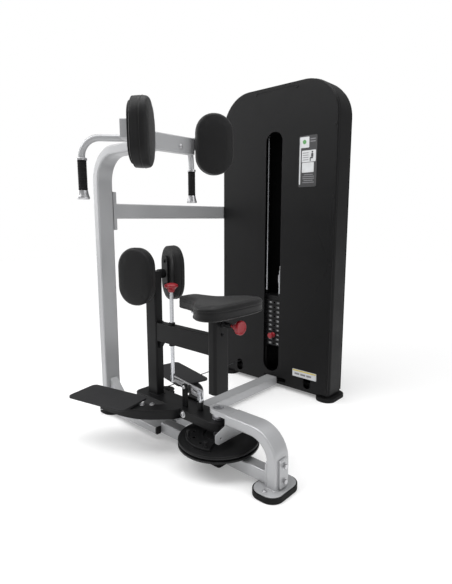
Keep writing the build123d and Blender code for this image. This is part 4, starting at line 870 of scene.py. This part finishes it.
def weight_labels(node, body, first, prefix):
    """Two columns of numbered labels on the -Y side of the plates, counted downwards."""
    weight_step, column = 5, 0.026
    bm = bmesh.new()
    texts = []
    for i, (lo, hi) in enumerate(top_down(node)):
        z = (lo.z + hi.z) / 2
        for side in (-1, 1):
            x = (lo.x + hi.x) / 2 + side * column
            rounded_plate(bm, 0.026, 0.014, 0.003, 0.0006, facing_minus_y(x, lo.y, z))
            texts.append((str(first + weight_step * i), x, lo.y - 0.00075, z))
    from_bm(bm, prefix + "_labels", "ink_dark", body, smooth=False)
    meshes = [numeral_mesh(*text) for text in texts]
    bm = bmesh.new()
    for mesh in meshes:
        bm.from_mesh(mesh)
    from_bm(bm, prefix + "_numerals", "label", body, smooth=False)


weight_labels("plates_lifted", "stack", 10, "upper_plate")
weight_labels("plates_resting", "frame", 50, "lower_plate")

# ------------------------------------------------------------------ placards
PRINT_GAP = 0.00005     # first layer in front of the placard
LAYER = 0.0006          # second layer in front of the first


def print_flat(name, material, y, plates):
    """Thin plates facing -Y; columns are x, z, width, height, corner radius."""
    bm = bmesh.new()
    for x, z, width, height, corner in plates:
        rounded_plate(bm, width, height, corner, 0.0005, facing_minus_y(x, y, z),
                      steps=5, bevel=0.0001)
    from_bm(bm, name, material, "frame", smooth=False)


def tall_placard(lo, hi):
    width, height = hi.x - lo.x, hi.z - lo.z
    x = (lo.x + hi.x) / 2
    y = lo.y - PRINT_GAP
    panel = lo.z + height * 0.60        # middle of the larger panel
    bars = lo.z + height * 0.24         # top bar below the panels
    print_flat("placard_header", "label", y, [(x - 0.020, hi.z - 0.032, 0.054, 0.052, 0.004)])
    print_flat("placard_panels", "label", y, [
        (x + 0.006, panel, 0.080, 0.056, 0.003),
        (x + 0.002, lo.z + height * 0.38, 0.068, 0.048, 0.003),
        (x - width / 2 + 0.008, lo.z + height * 0.45, 0.007, height * 0.80, 0.003)])
    print_flat("placard_bars", "ink_grey", y, [
        (x + 0.006, bars - 0.0095 * i, 0.066 * (1.0 if i % 3 else 0.8), 0.0034, 0.001)
        for i in range(5)
    ] + [(x + 0.028, hi.z - 0.018 - 0.012 * i, 0.030, 0.0050, 0.001) for i in range(2)])
    print_flat("placard_lines", "ink_grey", y - LAYER, [
        (x - 0.012, panel + 0.016 - 0.011 * i, 0.034, 0.0032, 0.001) for i in range(4)])
    bm = bmesh.new()
    lathe(bm, [(0, 0), (0.0105, 0), (0.0105, 0.0004), (0.0100, 0.0005), (0, 0.0005)],
          (x - 0.020, y - LAYER, hi.z - 0.030), (0, -1, 0), 36)
    from_bm(bm, "placard_disc", "ink_green", "frame", smooth=False)
    # seated figure: head, body, thigh, shin
    print_flat("placard_figure", "ink_dark", y - LAYER, [
        (x + 0.026, panel + 0.019, 0.009, 0.009, 0.0044),
        (x + 0.026, panel + 0.004, 0.012, 0.019, 0.004),
        (x + 0.022, panel - 0.009, 0.017, 0.006, 0.003),
        (x + 0.015, panel - 0.017, 0.005, 0.017, 0.002)])


def small_label(lo, hi):
    x, z = (lo.x + hi.x) / 2, (lo.z + hi.z) / 2
    width, height = hi.x - lo.x, hi.z - lo.z
    print_flat("label_face", "label", lo.y - PRINT_GAP,
               [(x, z, width - 0.004, height - 0.004, 0.003)])
    print_flat("label_stripe", "ink_yellow", lo.y - LAYER,
               [(x, hi.z - 0.008, width - 0.010, 0.006, 0.002)])
    print_flat("label_bars", "ink_grey", lo.y - LAYER,
               [(x + dx, z - 0.004, 0.030, 0.010, 0.002) for dx in (-0.045, -0.008, 0.029)])


placards = top_down("tower_placards")
tall_placard(*placards[0])
small_label(*placards[1])

# ------------------------------------------------------------------ cables
CABLE_RADIUS = 0.0025


def cable_wrap():
    """Cable round the cam disc, clockwise from +Y seen from above."""
    lo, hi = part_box("cam_disc")
    radius, z = (hi.x - lo.x) / 2 - 0.009, 0.098
    angles = [math.radians(90 - 6 * i) for i in range(42)]
    bm = bmesh.new()
    tube(bm, [(radius * math.cos(a), radius * math.sin(a), z) for a in angles],
         CABLE_RADIUS, 10)
    from_bm(bm, "cable_wrap", "cable_coat", "cam")


def stack_cable():
    """Vertical run of cable, and the fitting at its foot."""
    lo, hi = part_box("stack_cable")
    c = (lo + hi) / 2
    steps = 24
    bm = bmesh.new()
    tube(bm, [(c.x, c.y, lo.z + (hi.z - lo.z) * i / steps) for i in range(steps + 1)],
         CABLE_RADIUS, 12)
    rope = from_bm(bm, "stack_cable_rope", "cable_coat")
    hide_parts("stack_cable")
    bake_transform(rope)
    bm = bmesh.new()
    lathe(bm, [(0, 0), (0.0075, 0), (0.0078, 0.002), (0.0050, 0.007), (0.0048, 0.026),
               (0.0036, 0.030), (0.0028, 0.031), (0, 0.031)], (c.x, c.y, lo.z), (0, 0, 1), 24)
    from_bm(bm, "cable_end_fitting", "zinc", "stack")


cable_wrap()
stack_cable()

# ------------------------------------------------------------------ welds
WELD_LIFT = 0.0004      # bead centre above the plate
BLACK_HALF = 0.0202     # half width in Y of the beads on the black tubes
FOOT_X, FOOT_HALF = 0.040, 0.040    # size in X and half width in Y of the foot beads


def weld(name, points, radius, material, body):
    """A weld bead whose radius ripples and tapers at its ends."""
    path = resample(points, 0.0028, closed=False)
    radii = [radius * (1.0 + 0.13 * math.cos(k * math.pi))
             * (0.6 if k in (0, len(path) - 1) else 1) for k in range(len(path))]
    bm = bmesh.new()
    tube(bm, path, radii, 8)
    from_bm(bm, name, material, body)


def level_loop(x0, x1, half, z):
    return [(x0, -half, z), (x1, -half, z), (x1, half, z), (x0, half, z), (x0, -half, z)]


def welds():
    lo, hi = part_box("knee_column")
    arm_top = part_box("carriage_arm")[1].z
    weld("column_weld", level_loop(lo.x + 0.0002, hi.x - 0.0002, BLACK_HALF,
                                   arm_top + WELD_LIFT), 0.0022, "frame_black", "carriage")
    foot_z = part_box("foot_plates_steel")[1].z + WELD_LIFT
    upright_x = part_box("upright_arch")[0].x
    leg_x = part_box("rear_elbow")[1].x
    for name, x0, x1 in (("upright_weld", upright_x, upright_x + FOOT_X),
                         ("leg_weld", leg_x - FOOT_X, leg_x)):
        weld(name, level_loop(x0, x1, FOOT_HALF, foot_z), 0.0026, "frame_silver", "frame")
    # upright loops at the two ends of the seat beam
    lo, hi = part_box("seat_beam")
    bottom, y = 0.432, BLACK_HALF
    for x, name in ((hi.x, "beam_post_weld"), (lo.x, "beam_column_weld")):
        weld(name, [(x, -y, bottom), (x, -y, hi.z), (x, y, hi.z), (x, y, bottom),
                    (x, -y, bottom)], 0.0020, "frame_black", "carriage")


def stop_pin_tips():
    """Bright tips on the small solids of the cam disc."""
    pins = sorted((box for box in islands("cam_disc") if box[1].x - box[0].x < 0.03),
                  key=lambda box: box[0].x)
    if not pins:
        return
    bm = bmesh.new()
    for lo, hi in pins:
        lathe(bm, [(0.0, 0.0009), (0.0052, 0.0008), (0.0060, 0.0001), (0.0060, -0.0006),
                   (0.0, -0.0006)], ((lo.x + hi.x) / 2, (lo.y + hi.y) / 2, hi.z), (0, 0, 1), 32)
    from_bm(bm, "stop_pin_tips", "zinc", "cam")


welds()
stop_pin_tips()


# ------------------------------------------------------------------ stage
def floor_material():
    """Pale floor that turns to pure glow away from the origin."""
    s = Shader("floor_mat")
    color = s.mix(s.ramp(s.noise(scale=1.4), span=(0.3, 0.7)),
                  (0.80, 0.80, 0.80), (0.82, 0.82, 0.82))
    distance = s.node("VectorMath")
    distance.operation = "LENGTH"
    s.feed(distance.inputs[0], s.coords)
    far = s.ramp(distance.outputs["Value"], span=(1.0, 2.6))
    near_glow, far_gain = 0.22, 0.78
    s.surface(Emission_Color=(1.0, 1.0, 1.0),
              Emission_Strength=s.add(s.times(far, far_gain), near_glow),
              Base_Color=s.mix(far, color, (0.0, 0.0, 0.0)),
              Roughness=s.ramp(s.noise(scale=120.0), span=(0.3, 0.7), to=(0.55, 0.68)),
              Normal=s.bump(s.noise(scale=500.0), strength=0.03, distance=0.0005),
              Specular_IOR_Level=0.25)
    return s.material


def floor():
    half, cells, z = 9, 24, -0.0002
    ticks = [-half + 2 * half * i / cells for i in range(cells + 1)]
    bm = bmesh.new()
    rows = [[bm.verts.new((x, y, z)) for y in ticks] for x in ticks]
    for row, following in zip(rows, rows[1:]):
        for j in range(cells):
            bm.faces.new((row[j], following[j], following[j + 1], row[j + 1]))
    mesh = bpy.data.meshes.new("floor")
    bm.to_mesh(mesh)
    bm.free()
    part = link_object("floor", mesh)
    mesh.materials.append(floor_material())


def aim(part, location, direction):
    part.location = location
    part.rotation_mode = "QUATERNION"
    part.rotation_quaternion = Vector(direction).to_track_quat("-Z", "Y")


def area(name, location, target, size, power):
    light = bpy.data.lights.new(name, "AREA")
    light.shape = "RECTANGLE"
    light.size, light.size_y = size
    light.energy = power
    aim(link_object(name, light), location, Vector(target) - Vector(location))


def world():
    """White to the camera, dimmer as a light."""
    studio = bpy.data.worlds.new("studio")
    SCENE.world = studio
    studio.use_nodes = True
    tree = studio.node_tree
    background = tree.nodes["Background"]
    background.inputs["Color"].default_value = (1, 1, 1, 1)
    path = tree.nodes.new("ShaderNodeLightPath")
    strength = tree.nodes.new("ShaderNodeMix")
    strength.data_type = "FLOAT"
    strength.inputs[2].default_value = 0.34     # as a light
    strength.inputs[3].default_value = 1.0      # seen by the camera
    tree.links.new(path.outputs["Is Camera Ray"], strength.inputs[0])
    tree.links.new(strength.outputs[0], background.inputs["Strength"])
    SCENE.view_settings.view_transform = "Standard"


def camera():
    lens = bpy.data.cameras.new("camera")
    lens.sensor_width = 36.0
    lens.lens = 27.62
    lens.clip_start = 0.05
    lens.clip_end = 60
    part = link_object("camera", lens)
    aim(part, location=(1.111, -1.183, 0.945), direction=(-0.66277, 0.73095, -0.16264))
    SCENE.camera = part


floor()
area("key", location=(-1.6, -2.2, 3.6), target=(-0.3, 0.2, 0.6), size=(2.4, 2.4), power=95)
area("top", location=(0.2, 0.4, 4.2), target=(-0.2, 0.2, 0.4), size=(3.4, 3.4), power=120)
area("right", location=(3.2, 0.4, 1.9), target=(0.0, 0.6, 0.8), size=(1.6, 2.6), power=28)
area("left", location=(-3.4, -0.9, 1.7), target=(-0.5, 0.0, 0.7), size=(1.4, 2.4), power=34)
world()
camera()

bpy.context.view_layer.update()
